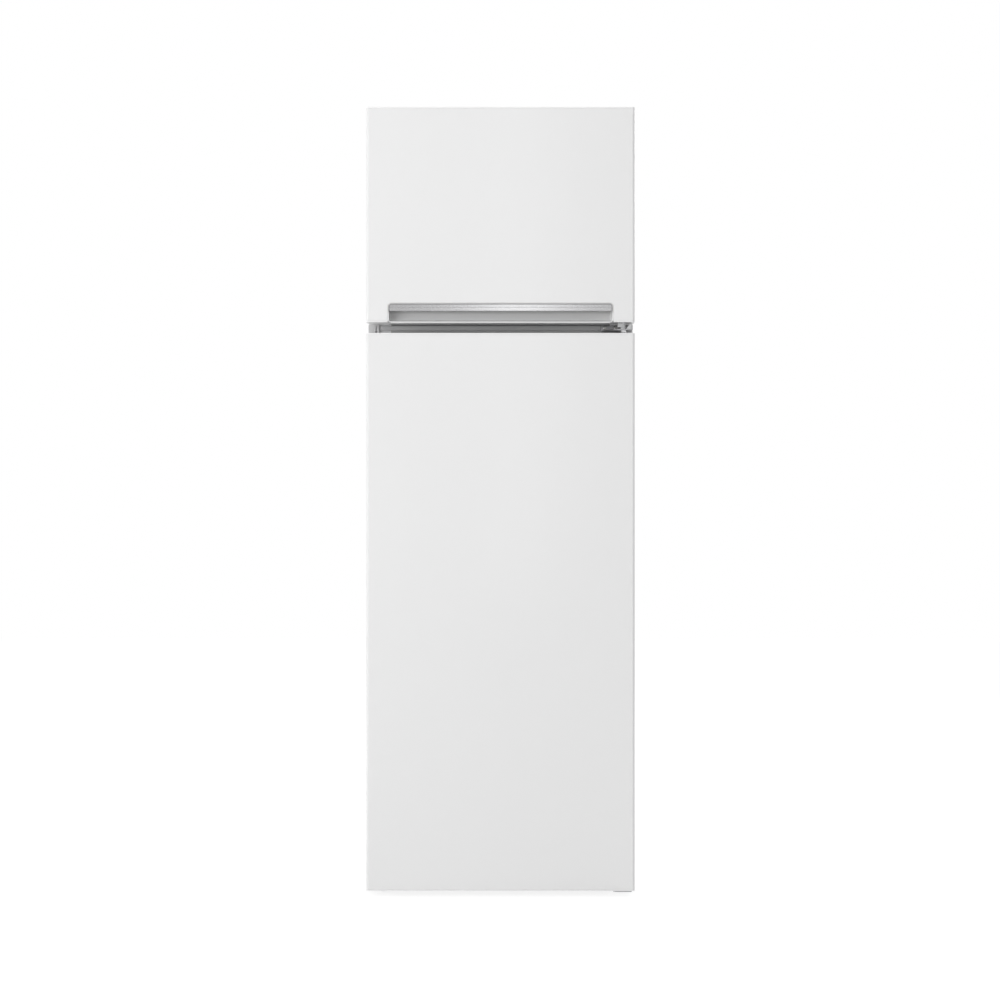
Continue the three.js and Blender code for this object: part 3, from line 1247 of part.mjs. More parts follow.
function addCase(group) {
  add(group, 'outer_wrap', outerWrap(), MATERIAL.casePaint);
  add(group, 'back_panel', backPanel(), MATERIAL.steel);
  add(group, 'floor_plate', floorPlate(), MATERIAL.steel);
  add(group, 'cabinet_foam', cabinetFoam(), MATERIAL.foam);
  add(group, 'fridge_liner', fridgeLiner(), MATERIAL.liner);
  add(group, 'freezer_liner', freezerLiner(), MATERIAL.liner);
  add(group, 'crossbar', crossbar(), MATERIAL.casePaint);
  add(group, 'crossbar_cap_left', crossbarEndCap(-1), MATERIAL.greyPlastic);
  add(group, 'crossbar_cap_right', crossbarEndCap(1), MATERIAL.greyPlastic);
  add(group, 'top_hinge', topHinge(), MATERIAL.steel);
  add(group, 'top_hinge_cover', topHingeCover(), MATERIAL.whitePlastic);
  add(group, 'middle_hinge', middleHinge(), MATERIAL.steel);
  add(group, 'bottom_hinge', bottomHinge(), MATERIAL.steel);
  add(group, 'base_frame', baseFrame(), MATERIAL.blackSteel);
}

function addStanding(group) {
  const x = CASE_HALF - RAIL_INSET - RAIL_WIDTH / 2;
  for (const [side, sign] of [['left', -1], ['right', 1]]) {
    add(group, `foot_${side}`, levellingFoot(), MATERIAL.blackPlastic,
      [sign * x, FOOT_Y, 0]);
    add(group, `roller_${side}`, rearRoller(), MATERIAL.blackPlastic,
      [sign * x, CASE_BACK - ROLLER_FROM_BACK, ROLLER_RADIUS]);
  }
}

function addCooling(group) {
  add(group, 'compressor', compressor(), MATERIAL.blackSteel);
  add(group, 'compressor_tray', compressorTray(), MATERIAL.steel);
  mountPlaces().forEach(([x, y], index) => {
    add(group, `compressor_mount_${index + 1}`, compressorMount(), MATERIAL.darkRubber,
      [x, y, MOUNT_Z]);
  });
  add(group, 'relay_cover', relayCover(), MATERIAL.blackPlastic);
  add(group, 'evaporation_tray', evaporationTray(), MATERIAL.blackPlastic);
  add(group, 'condenser_coil', condenserCoil(), MATERIAL.blackSteel);
  add(group, 'condenser_bracket_left', condenserBracket(-1), MATERIAL.blackPlastic);
  add(group, 'condenser_bracket_right', condenserBracket(1), MATERIAL.blackPlastic);
  add(group, 'freezer_evaporator', freezerEvaporator(), MATERIAL.aluminium);
  add(group, 'cold_plate', coldPlate(), MATERIAL.aluminium);
}

function pane(room, back) {
  const half = room.half - SHELF_SIDE_GAP;
  return block([-half, half], [0, back - SHELF_FRONT], [0, SHELF_THICKNESS]);
}

function addInterior(group) {
  shelfHeights().forEach((z, index) => {
    const back = FRIDGE.back - COLD_PLATE.thickness - REAR_AIR_GAP;
    add(group, `shelf_${index + 1}`, pane(FRIDGE, back), MATERIAL.glass, [0, SHELF_FRONT, z]);
  });
  add(group, 'crisper_cover', pane(FRIDGE, FRIDGE.back - COVER_REAR_GAP), MATERIAL.glass,
    [0, SHELF_FRONT, COVER_SHELF_Z]);
  add(group, 'freezer_shelf', pane(FREEZER, FREEZER.back - FREEZER_SHELF_REAR_GAP), MATERIAL.glass,
    [0, SHELF_FRONT, FREEZER_SHELF_Z]);
  const drawerX = (FRIDGE.half - DRAWER_SIDE_GAP + DRAWER_GAP / 2) / 2;
  for (const [side, sign] of [['left', -1], ['right', 1]]) {
    add(group, `crisper_${side}`, crisperDrawer(), MATERIAL.clearPlastic,
      [sign * drawerX, DRAWER_BACK, FRIDGE_FLOOR + SEAT_GAP]);
  }
  add(group, 'control_housing', controlHousing(), MATERIAL.whitePlastic);
  add(group, 'lamp_bulb', lampBulb(), MATERIAL.glass,
    [-LAMP_ROOM.left + SEAT_GAP, HOUSING_Y + BULB_BEHIND_FRONT, HOUSING_MIDDLE]);
  add(group, 'thermostat_knob', thermostatKnob(), MATERIAL.whitePlastic,
    [KNOB_X, HOUSING_Y - SEAT_GAP, HOUSING_MIDDLE]);
  add(group, 'lamp_switch', lampSwitch(), MATERIAL.whitePlastic);
}

function addFreezerDoor(parent) {
  const door = new THREE.Group();
  door.position.set(0, FRONT_Y, FREEZER_DOOR_BOTTOM);
  const height = FREEZER_DOOR_HEIGHT;
  const scoopRoom = scoopBody(SEAT_GAP, -PAST, -PAST);
  const right = WIDTH / 2;
  const notch = block([right - NOTCH_WIDTH, right + PAST], [NOTCH_FRONT_WALL, DOOR_THICKNESS + PAST],
    [height - NOTCH_DEPTH, height + PAST]);
  const inset = DOOR_SKIN + SEAT_GAP;
  const cornerBottom = height - NOTCH_DEPTH - PIN_LENGTH - PIN_END_ROOM - CAP_WALL;
  const cornerX = right - NOTCH_WIDTH - CAP_WALL;
  const corner = block([cornerX, right - inset - CAP_WALL],
    [inset + CAP_WALL, DOOR_THICKNESS - LINER_WALL - SEAT_GAP], [cornerBottom, height - CAP_LIP]);
  const cornerRoom = block([cornerX - SEAT_GAP, right], [inset, DOOR_THICKNESS],
    [cornerBottom - SEAT_GAP, height]);
  const caps = {
    top: { solids: [corner], tools: [notch], boreStart: height - NOTCH_DEPTH },
    bottom: { tools: [scoopRoom] },
  };
  const rackHeights = binHeights(freezerDike, 2).slice(1);
  addDoor(door, 'freezer_door', height, freezerDike,
    { below: GASKET_PARTING_INSET, above: GASKET_TOP_INSET }, caps, rackHeights,
    [scoopRoom, cornerRoom], [scoopRoom, notch]);
  add(door, 'handle_scoop', handleScoop(), MATERIAL.greyPlastic);
  add(door, 'handle_bar', handleBar(), MATERIAL.chrome);
  add(door, 'freezer_door_rack', doorBin(freezerDike, BIN_HEIGHT), MATERIAL.clearPlastic,
    [0, DOOR_CENTRE + SEAT_GAP, rackHeights[0]]);
  parent.add(door);
}

function addFridgeDoor(parent) {
  const door = new THREE.Group();
  door.position.set(0, FRONT_Y, DOOR_BOTTOM);
  const height = FRIDGE_DOOR_HEIGHT;
  const w = CAP_WALL;
  const gripCase = block([-GRIP_HALF - w, GRIP_HALF + w], [GRIP_FRONT - w, GRIP_REAR + w],
    [height - GRIP_DEPTH - w, height - SUNK]);
  const grip = block([-GRIP_HALF, GRIP_HALF], [GRIP_FRONT, GRIP_REAR],
    [height - GRIP_DEPTH, height + PAST]);
  const caps = { top: { solids: [gripCase], tools: [grip] }, bottom: {} };
  const heights = binHeights(fridgeDike, 3);
  addDoor(door, 'fridge_door', height, fridgeDike,
    { below: GASKET_BOTTOM_INSET, above: GASKET_PARTING_INSET }, caps, heights, [], []);
  heights.forEach((z, index) => {
    const binHeight = index === 0 ? BOTTLE_BIN_HEIGHT : BIN_HEIGHT;
    add(door, index === 0 ? 'bottle_bin' : `door_bin_${index}`, doorBin(fridgeDike, binHeight),
      MATERIAL.clearPlastic, [0, DOOR_CENTRE + SEAT_GAP, z]);
  });
  parent.add(door);
}

const refrigerator = new THREE.Group();
addCase(refrigerator);
addStanding(refrigerator);
addCooling(refrigerator);
addInterior(refrigerator);
addFreezerDoor(refrigerator);
addFridgeDoor(refrigerator);

export default refrigerator;
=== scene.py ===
import math

import bmesh
import bpy
import numpy as np
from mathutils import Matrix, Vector


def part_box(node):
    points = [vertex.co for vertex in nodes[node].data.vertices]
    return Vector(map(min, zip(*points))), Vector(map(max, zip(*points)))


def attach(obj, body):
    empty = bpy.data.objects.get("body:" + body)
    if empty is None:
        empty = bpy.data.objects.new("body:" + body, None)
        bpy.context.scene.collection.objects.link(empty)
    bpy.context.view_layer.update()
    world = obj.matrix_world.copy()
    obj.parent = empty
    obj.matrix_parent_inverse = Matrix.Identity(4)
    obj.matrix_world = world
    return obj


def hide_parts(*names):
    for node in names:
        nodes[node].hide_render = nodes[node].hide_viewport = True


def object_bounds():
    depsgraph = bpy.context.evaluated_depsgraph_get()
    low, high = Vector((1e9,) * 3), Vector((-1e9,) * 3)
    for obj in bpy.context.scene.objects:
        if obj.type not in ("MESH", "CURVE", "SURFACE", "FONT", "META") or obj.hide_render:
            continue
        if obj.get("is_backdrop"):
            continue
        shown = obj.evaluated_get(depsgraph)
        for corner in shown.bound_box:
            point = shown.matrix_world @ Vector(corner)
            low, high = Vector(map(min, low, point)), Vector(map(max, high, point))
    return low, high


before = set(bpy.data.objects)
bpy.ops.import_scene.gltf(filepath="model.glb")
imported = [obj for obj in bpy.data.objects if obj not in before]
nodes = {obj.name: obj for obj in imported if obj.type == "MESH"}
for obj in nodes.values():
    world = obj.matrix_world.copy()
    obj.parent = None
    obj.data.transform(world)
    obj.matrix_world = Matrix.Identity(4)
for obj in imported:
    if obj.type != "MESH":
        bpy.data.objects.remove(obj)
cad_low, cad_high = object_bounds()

MM = 0.001

# ---------------------------------------------------------------------------
# Camera. It stands square in front of the doors at half their height, far off
# on a long lens, so that edges a little behind the doors hardly shift.
CAMERA_DISTANCE = 5.0
CAMERA_HEIGHT = 0.8813
CAMERA_SIDE = -0.0012
VIEW_HEIGHT = 2.2156 # how much of the door plane fills the picture
SENSOR = 36.0

camera_data = bpy.data.cameras.new("camera")
camera_data.sensor_width = SENSOR
camera_data.lens = SENSOR * CAMERA_DISTANCE / VIEW_HEIGHT
camera = bpy.data.objects.new("camera", camera_data)
camera.location = (CAMERA_SIDE, cad_low.y - CAMERA_DISTANCE, CAMERA_HEIGHT)
camera.rotation_euler = (math.radians(90), 0, 0)
bpy.context.scene.collection.objects.link(camera)
bpy.context.scene.camera = camera
bpy.context.scene.view_settings.view_transform = "Standard"

# ---------------------------------------------------------------------------
# Studio. A white floor and surround, seen at full white. A big soft lamp at the left
# and a weak one at the right darken the doors from left to right, one reaches into
# the handle, one stands behind, and a tall strip over the camera shows in the bar.
FLOOR_HALF = 9.0
FLOOR_WHITE = (0.86, 0.86, 0.86, 1)
FLOOR_ROUGHNESS = 0.9
FLOOR_SPECULAR = 0.1
FLOOR_SHADOW = 0.32 # how much of the floor's own shading the camera sees
FLOOR_GLOW = 1.27 # the rest of what it sees, so that the open floor is as white as the surround
SURROUND_LIGHT = 0.50 # what the surround sends to the object, where a picture sees it at 1


def add_node(tree, kind, inputs=None, **settings):
    """A shader node with its settings, each input given as a value or as the socket it reads."""
    node = tree.nodes.new("ShaderNode" + kind)
    for label, value in settings.items():
        setattr(node, label, value)
    for label, value in (inputs or {}).items():
        if isinstance(value, bpy.types.NodeSocket):
            tree.links.new(value, node.inputs[label])
        else:
            node.inputs[label].default_value = value
    return node


def picture_rays(tree):
    """One for a ray that makes a picture, straight or in gloss or glass, and zero for one that
    carries light."""
    rays = add_node(tree, "LightPath").outputs
    seen = rays["Is Camera Ray"]
    for label in ("Is Transmission Ray", "Is Glossy Ray"):
        seen = add_node(tree, "Math", {0: seen, 1: rays[label]}, operation="MAXIMUM").outputs[0]
    return seen


world = bpy.data.worlds.new("surround")
bpy.context.scene.world = world
world.use_nodes = True
tree = world.node_tree
background = tree.nodes["Background"]
background.inputs["Color"].default_value = (1, 1, 1, 1)
level = add_node(tree, "MapRange", {"Value": picture_rays(tree), "To Min": SURROUND_LIGHT,
                                    "To Max": 1.0})
tree.links.new(level.outputs["Result"], background.inputs["Strength"])

floor_mesh = bpy.data.meshes.new("floor")
corners = [(x * FLOOR_HALF, y * FLOOR_HALF, 0) for x, y in ((-1, -1), (1, -1), (1, 1), (-1, 1))]
floor_mesh.from_pydata(corners, [], [(0, 1, 2, 3)])
floor = bpy.data.objects.new("floor", floor_mesh)
bpy.context.scene.collection.objects.link(floor)
floor_material = bpy.data.materials.new("floor")
floor_material.use_nodes = True
tree = floor_material.node_tree
shader = tree.nodes["Principled BSDF"]
shader.inputs["Base Color"].default_value = FLOOR_WHITE
shader.inputs["Roughness"].default_value = FLOOR_ROUGHNESS
shader.inputs["Specular IOR Level"].default_value = FLOOR_SPECULAR
share = add_node(tree, "Math", {0: picture_rays(tree), 1: 1 - FLOOR_SHADOW}, operation="MULTIPLY")
glow = add_node(tree, "Emission", {"Strength": FLOOR_GLOW})
mix = add_node(tree, "MixShader", {"Fac": share.outputs[0], 1: shader.outputs[0],
                                   2: glow.outputs[0]})
tree.links.new(mix.outputs[0], tree.nodes["Material Output"].inputs["Surface"])
floor_mesh.materials.append(floor_material)
floor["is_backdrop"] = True


def soft_lamp(name, place, target, size, watts, height=None, mirrored=True):
    """An area lamp, square or as high as asked, that looks at a target point. One that isn't
    mirrored lights the object but leaves no bright spot on its glossy edges."""
    data = bpy.data.lights.new(name, "AREA")
    data.shape = "RECTANGLE"
    data.size = size
    data.size_y = height or size
    data.energy = watts
    lamp = bpy.data.objects.new(name, data)
    lamp.location = place
    lamp.rotation_euler = (Vector(target) - Vector(place)).to_track_quat("-Z", "Y").to_euler()
    lamp.visible_glossy = mirrored
    bpy.context.scene.collection.objects.link(lamp)


soft_lamp("key", (-3.0, -3.4, 1.6), (0, -0.3, 0.95), 2.6, 77, mirrored=False)
soft_lamp("high", (-0.9, -3.9, 3.9), (0, -0.3, 0.9), 2.4, 25, mirrored=False)
soft_lamp("fill", (2.6, -3.4, 1.1), (0, -0.3, 0.8), 2.2, 1)
soft_lamp("back", (1.6, 3.6, 3.0), (0, 0.3, 0.9), 2.4, 60)
soft_lamp("strip over the camera", (0.08, -5.9, 1.9), (0, -0.3, 1.5), 0.32, 6.1, 2.8)

# ---------------------------------------------------------------------------
# Case. One sheet of pre-painted steel bent round both sides and the top, its
# front edges folded in as a flange that the gaskets seal on, and a straight
# steel bar across the front between the two compartments.
WELD_REACH = 0.00001
MERGE_REACH = 0.000004
FLAT_ANGLE = 1.0 # degrees; triangles that lie flatter than this are joined
EASE_ANGLE = 28.0 # degrees; edges folded by more than this are rounded
SHARP_ANGLE = 38.0 # degrees; edges folded by more than this stay crisp


def group_tree(name, inputs, output, kind):
    """A shader node group: its inputs, each with its default value, and one output of a kind."""
    made = bpy.data.node_groups.new(name, "ShaderNodeTree")
    for label, value in inputs.items():
        size = len(value) if isinstance(value, tuple) else 1
        socket = made.interface.new_socket(
            name=label, in_out="INPUT",
            socket_type="NodeSocket" + {1: "Float", 3: "Vector", 4: "Color"}[size])
        socket.default_value = value
    made.interface.new_socket(name=output, in_out="OUTPUT", socket_type="NodeSocket" + kind)
    given = made.nodes.new("NodeGroupInput").outputs
    return made, given, made.nodes.new("NodeGroupOutput").inputs[output]


def object_noise(tree, scale, detail):
    """Noise from 0 to 1 on object coordinates."""
    place = add_node(tree, "TexCoord").outputs["Object"]
    return add_node(tree, "TexNoise", {"Vector": place, "Scale": scale,
                                       "Detail": detail}).outputs["Fac"]


def drift(tree, scale, detail):
    """The same noise about zero, from -0.5 to 0.5."""
    noise = object_noise(tree, scale, detail)
    return add_node(tree, "Math", {0: noise, 1: 0.5}, operation="SUBTRACT").outputs[0]


# Colour drift: the colour is lightened or darkened by slow noise, up to an amount.
tone_group, given, leave = group_tree(
    "tone_drift", {"Color": (0.8, 0.8, 0.8, 1), "Amount": 0.03, "Scale": 4.0}, "Color", "Color")
swing = add_node(tone_group, "Math", {0: drift(tone_group, given["Scale"], 3),
                                      1: given["Amount"]}, operation="MULTIPLY").outputs[0]
gain = add_node(tone_group, "Math", {0: swing, 1: 2.0, 2: 1.0}, operation="MULTIPLY_ADD")
scaled = add_node(tone_group, "VectorMath", {0: given["Color"], "Scale": gain.outputs[0]},
                  operation="SCALE")
tone_group.links.new(scaled.outputs[0], leave)

# Roughness drift: the roughness swings by an amount with noise at a scale.
gloss_group, given, leave = group_tree(
    "gloss_drift", {"Roughness": 0.4, "Amount": 0.05, "Scale": 30.0}, "Roughness", "Float")
swing = add_node(gloss_group, "Math", {0: drift(gloss_group, given["Scale"], 4),
                                       1: given["Amount"], 2: given["Roughness"]},
                 operation="MULTIPLY_ADD")
gloss_group.links.new(swing.outputs[0], leave)

# Surface grain: a bump of noise at a scale, a given depth high, stretched along an axis.
grain_group, given, leave = group_tree(
    "surface_grain", {"Scale": 600.0, "Depth": 0.00002, "Stretch": (1.0, 1.0, 1.0)}, "Normal",
    "Vector")
place = add_node(grain_group, "TexCoord").outputs["Object"]
drawn = add_node(grain_group, "VectorMath", {0: place, 1: given["Stretch"]}, operation="MULTIPLY")
noise = add_node(grain_group, "TexNoise", {"Vector": drawn.outputs[0], "Scale": given["Scale"],
                                           "Detail": 2})
bump = add_node(grain_group, "Bump", {"Strength": 1.0, "Height": noise.outputs["Fac"],
                                      "Distance": given["Depth"]})
grain_group.links.new(bump.outputs["Normal"], leave)


def surface(name, color, roughness, metallic=0.0, tone=(0.02, 3.0), gloss=(0.06, 25.0),
            grain=(500.0, 0.00002), stretch=(1, 1, 1), **sockets):
    """A material with colour drift and roughness drift, each as (amount, scale), and grain as
    (scale, depth)."""
    material = bpy.data.materials.new(name)
    material.use_nodes = True
    tree = material.node_tree
    shader = tree.nodes["Principled BSDF"]
    shader.inputs["Metallic"].default_value = metallic
    for label, value in sockets.items():
        shader.inputs[label.replace("_", " ")].default_value = value
    for group, socket, inputs in (
            (tone_group, "Base Color", {"Color": (*color, 1), "Amount": tone[0], "Scale": tone[1]}),
            (gloss_group, "Roughness", {"Roughness": roughness, "Amount": gloss[0],
                                        "Scale": gloss[1]}),
            (grain_group, "Normal", {"Scale": grain[0], "Depth": grain[1], "Stretch": stretch})):
        placed = add_node(tree, "Group", inputs, node_tree=group)
        tree.links.new(placed.outputs[0], shader.inputs[socket])
    return material


def add_modifier(piece, name, kind, **settings):
    """A modifier on a piece, with its settings."""
    made = piece.modifiers.new(name, kind)
    for label, value in settings.items():
        setattr(made, label, value)


def dress(names, material, width=0.0, segments=2, smooth=True):
    """Gives CAD nodes a material. Where a width is given, their loose triangles are welded, the
    flat ones joined, and the sharp edges rounded."""
    for name in names:
        node = nodes[name]
        node.data.materials.clear()
        node.data.materials.append(material)
        node.data.polygons.foreach_set("use_smooth", np.full(len(node.data.polygons), smooth))
        if width:
            add_modifier(node, "weld", "WELD", merge_threshold=WELD_REACH)
            add_modifier(node, "flat", "DECIMATE", decimate_type="DISSOLVE",
                         angle_limit=math.radians(FLAT_ANGLE))
            add_modifier(node, "bevel", "BEVEL", width=width, segments=segments,
                         limit_method="ANGLE", angle_limit=math.radians(EASE_ANGLE),
                         use_clamp_overlap=True, harden_normals=True)


case_enamel = surface("case_enamel", (0.80, 0.80, 0.805), 0.42, tone=(0.012, 1.5),
                      grain=(900.0, 0.00005))
CASE_SHEET = 0.8 * MM
CASE_BEND = 3 * MM # outer radius where a side bends into the top
LEAST_BEND = 0.3 * MM
FRONT_BEND = 1.6 * MM # outer radius where a side bends into the front flange
SIDE_FLANGE = 51 * MM
TOP_FLANGE = 44 * MM


def grid_faces(rows, columns, wrap_rows=False, wrap_columns=False):
    """Quads between neighbours of a rows by columns grid, either way closed on itself if asked."""
    r = np.arange(rows if wrap_rows else rows - 1)[:, None]
    c = np.arange(columns if wrap_columns else columns - 1)[None, :]
    r2 = (r + 1) % rows
    c2 = (c + 1) % columns
    quads = np.stack([r * columns + c, r * columns + c2, r2 * columns + c2, r2 * columns + c], -1)
    return quads.reshape(-1, 4).tolist()


def join_grids(parts):
    """Several (points, faces) parts as one pair of points and faces."""
    points, faces, start = [], [], 0
    for part_points, part_faces in parts:
        flat = np.asarray(part_points, float).reshape(-1, 3)
        points.append(flat)
        faces.extend([[index + start for index in face] for face in part_faces])
        start += len(flat)
    return np.concatenate(points), faces


def new_piece(name, parts, material, body, replaced=(), open_sheet=False):
    """A mesh piece from (points, faces) parts, with its material and body. A closed shape has
    its faces turned outwards; an open sheet keeps the way they were written."""
    points, faces = join_grids(parts)
    mesh = bpy.data.meshes.new(name)
    mesh.from_pydata(points.tolist(), [], faces)
    if not open_sheet:
        shape = bmesh.new()
        shape.from_mesh(mesh)
        bmesh.ops.remove_doubles(shape, verts=shape.verts, dist=MERGE_REACH)
        bmesh.ops.recalc_face_normals(shape, faces=shape.faces)
        shape.to_mesh(mesh)
        shape.free()
    mesh.validate()
    mesh.materials.append(material)
    mesh.polygons.foreach_set("use_smooth", np.ones(len(mesh.polygons), bool))
    mesh.set_sharp_from_angle(angle=math.radians(SHARP_ANGLE))
    piece = bpy.data.objects.new(name, mesh)
    bpy.context.scene.collection.objects.link(piece)
    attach(piece, body)
    if replaced:
        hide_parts(*replaced)
    return piece


def corner_arc(before, corner, after, radius, steps):
    """The arc of a radius that joins the two straight lines that meet at a corner."""
    a, b = before - corner, after - corner
    a, b = a / np.linalg.norm(a), b / np.linalg.norm(b)
    half = math.acos(np.clip(a @ b, -1, 1)) / 2
    middle = (a + b) / np.linalg.norm(a + b)
    centre = corner + middle * radius / math.sin(half)
    start = corner + a * radius / math.tan(half) - centre
    end = corner + b * radius / math.tan(half) - centre
    turn = np.linspace(0, 1, steps + 1)[:, None]
    full = math.pi - 2 * half
    return centre + (np.sin((1 - turn) * full) * start + np.sin(turn * full) * end) / math.sin(full)


def rounded(points, radii, steps=6):
    """A closed outline through the points, each corner an arc of its own or of one radius."""
    points = np.asarray(points, float)
    radii = np.broadcast_to(radii, len(points))
    after = np.roll(points, -1, 0)
    return np.concatenate([corner_arc(points[i - 1], points[i], after[i], radii[i], steps)
                           for i in range(len(points))])


def rounded_path(points, radii, steps=8):
    """An open path through the points, each inner corner an arc of its own or of one radius."""
    points = np.asarray(points, float)
    radii = np.broadcast_to(radii, len(points) - 2)
    arcs = [corner_arc(*points[i:i + 3], radius, steps) for i, radius in enumerate(radii)]
    return np.concatenate([points[:1], *arcs, points[-1:]])


def at_depth(outline, y):
    """An outline of (x, z) points as points in space, all at one depth."""
    return np.insert(outline, 1, y, axis=1)


def wrap_ring(low, high, inset_side, inset_top, y):
    """The path up one side, across the top and down the other, moved inwards."""
    left, right, top = low.x + inset_side, high.x - inset_side, high.z - inset_top
    bend = max(CASE_BEND - min(inset_side, inset_top), LEAST_BEND)
    corners = [(left, low.z), (left, top), (right, top), (right, low.z)]
    return at_depth(rounded_path(corners, bend), y)


def sheet_side(low, high, inset):
    """One side of the sheet's section, as rows of (inset from the side, from the top, depth): back
    edge, quarter circle of the bend, and the flange's edge."""
    turn = np.linspace(0, math.pi / 2, 7)
    bend = FRONT_BEND - inset
    across = inset + bend * (1 - np.cos(turn))
    curve = np.column_stack([across, across, low.y + inset + bend * (1 - np.sin(turn))])
    return [(inset, inset, high.y), *curve, (SIDE_FLANGE, TOP_FLANGE, low.y + inset)]


def wrap_surface(low, high):
    """The sheet's section, a side with its flange folded in at the front, carried round the path.
    It runs forwards outside, round the bend, along the flange and back inside."""
    outer, inner = sheet_side(low, high, 0), sheet_side(low, high, CASE_SHEET)
    rings = np.array([wrap_ring(low, high, *place) for place in outer + inner[::-1]])
    count, length = rings.shape[:2]
    faces = grid_faces(count, length, wrap_rows=True)
    step = np.arange(len(outer) - 1)
    for end in (0, length - 1):
        rows = np.stack([step, step + 1, count - 2 - step, count - 1 - step], 1)
        faces += (rows * length + end).tolist()
    return rings, faces


new_piece("case_wrap", [wrap_surface(*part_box("outer_wrap"))], case_enamel, "cabinet",
          ["outer_wrap"])


def color_socket(material):
    """A material's node tree, its shader's colour input and the socket that this reads."""
    tree = material.node_tree
    color = tree.nodes["Principled BSDF"].inputs["Base Color"]
    return tree, color, color.links[0].from_socket


def shade_by_height(material, low, high, stops):
    """Scales the colour by a curve over the height between two levels, given as (share, scale)."""
    tree, color, source = color_socket(material)
    place = add_node(tree, "TexCoord").outputs["Object"]
    split = add_node(tree, "SeparateXYZ", {0: place})
    share = add_node(tree, "MapRange", {"Value": split.outputs["Z"], "From Min": low,
                                        "From Max": high})
    curve = add_node(tree, "ValToRGB", {"Fac": share.outputs["Result"]})
    points = curve.color_ramp.elements
    while len(points) < len(stops):
        points.new(0.5)
    for point, (at, scale) in zip(points, stops):
        point.position = at
        point.color = (scale, scale, scale, 1)
    both = add_node(tree, "Mix", {"Factor": 1.0, "A": source, "B": curve.outputs["Color"]},
                    data_type="RGBA", blend_type="MULTIPLY")
    tree.links.new(both.outputs["Result"], color)


rail_enamel = surface("rail_enamel", (0.52, 0.52, 0.525), 0.6, tone=(0.02, 3.0),
                      grain=(900.0, 0.00005))
RAIL_PAINTED_SHADE = 0.45 # how dark the band of painted shade across the rail is
rail_low, rail_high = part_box("crossbar")
# Painted shade: a dark band across the rail's upper part stands for the shadow just under the
# freezer door's lower edge.
shade_by_height(rail_enamel, rail_low.z, rail_high.z, [
    (0.0, 1.0), (0.600, 1.0), (0.608, RAIL_PAINTED_SHADE), (0.642, RAIL_PAINTED_SHADE), (0.650, 1.0)])
dress(["crossbar"], rail_enamel, 0.5 * MM)

# ---------------------------------------------------------------------------
# Back and floor sheets. Galvanised steel with its spangle, left unpainted; the
# back panel is pressed with shallow stiffening ribs before it is screwed on.
SPANGLE_SIZE = 12 * MM
SPANGLE_CONTRAST = 0.10


def add_spangle(material):
    """Breaks the colour into flat crystals, each a little lighter or darker."""
    tree, color, source = color_socket(material)
    place = add_node(tree, "TexCoord").outputs["Object"]
    crystals = add_node(tree, "TexVoronoi", {"Scale": 1 / SPANGLE_SIZE, "Vector": place})
    split = add_node(tree, "SeparateColor", {"Color": crystals.outputs["Color"]})
    gain = add_node(tree, "MapRange", {"Value": split.outputs["Red"],
                                       "To Min": 1 - SPANGLE_CONTRAST,
                                       "To Max": 1 + SPANGLE_CONTRAST})
    scaled = add_node(tree, "VectorMath", {0: source, "Scale": gain.outputs["Result"]},
                      operation="SCALE")
    tree.links.new(scaled.outputs[0], color)


galvanised = surface("galvanised_steel", (0.50, 0.51, 0.52), 0.42, 0.85, tone=(0.08, 9.0),
                     gloss=(0.2, 60.0), grain=(300.0, 0.00003))
add_spangle(galvanised)
dress(["back_panel", "floor_plate", "compressor_tray"], galvanised, 0.3 * MM, 1)

RIB_LENGTH = 400 * MM
RIB_WIDTH = 16 * MM
RIB_PROUD = 2.2 * MM
RIB_SINK = 0.05 * MM # its flat base into the panel
RIB_HEIGHTS = (0.50, 0.78, 1.06, 1.34)


def points_of(x, y, z):
    """Points in space from coordinates that each vary over rows, columns, both or neither."""
    return np.stack(np.broadcast_arrays(x, y, z), -1)


def pressed_rib(centre_z, panel_y):
    """A long shallow dome over a flat base, a stadium in outline: its height falls as a raised
    cosine across it, and its width and height as a half circle at each end."""
    s, t = np.meshgrid(np.linspace(-1, 1, 41), np.linspace(-1, 1, 9), indexing="ij")
    x = s * RIB_LENGTH / 2
    over = np.maximum(np.abs(x) - (RIB_LENGTH - RIB_WIDTH) / 2, 0) / (RIB_WIDTH / 2)
    half = RIB_WIDTH / 2 * np.sqrt(np.maximum(1 - over ** 2, 0))
    z = centre_z + t * half
    rise = (1 + np.cos(np.pi * t)) / 2 * half / (RIB_WIDTH / 2)
    faces = grid_faces(*s.shape)
    return join_grids([(points_of(x, panel_y + RIB_PROUD * rise, z), faces),
                       (points_of(x, panel_y, z), faces)])


panel_low, panel_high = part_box("back_panel")
new_piece("back_panel_ribs", [pressed_rib(z, panel_high.y - RIB_SINK) for z in RIB_HEIGHTS],
          galvanised, "cabinet")

FRONT = (0, -1, 0) # the way from the object to the one who opens it
SCREW_RADIUS = 4.2 * MM
DOME_RADIUS = 1.12 * SCREW_RADIUS # where the head's dome would come down to nothing
SCREW_HEAD = 1.9 * MM
CROSS_HALF = 0.55 * MM
CROSS_REACH = 2.2 * MM
CROSS_DEPTH = 1.2 * MM
CROSS_TURN = 0.4 # radians
SCREW_INSET = 8 * MM
SCREW_END = 12 * MM # from the panel's foot and top to the first and last of a side
TOP_SCREWS = (-0.12, 0.12)


def round_angles(steps):
    """Even steps of angle once round."""
    return np.linspace(0, 2 * math.pi, steps, endpoint=False)


def capped(rings, wrap=True):
    """Rings of points, one in each row, joined into a tube, or a channel where they don't wrap
    round, that is closed flat at both ends."""
    rows, count = rings.shape[:2]
    first, last = range(count)[::-1], range((rows - 1) * count, rows * count)
    return rings, grid_faces(rows, count, wrap_columns=wrap) + [list(first), list(last)]


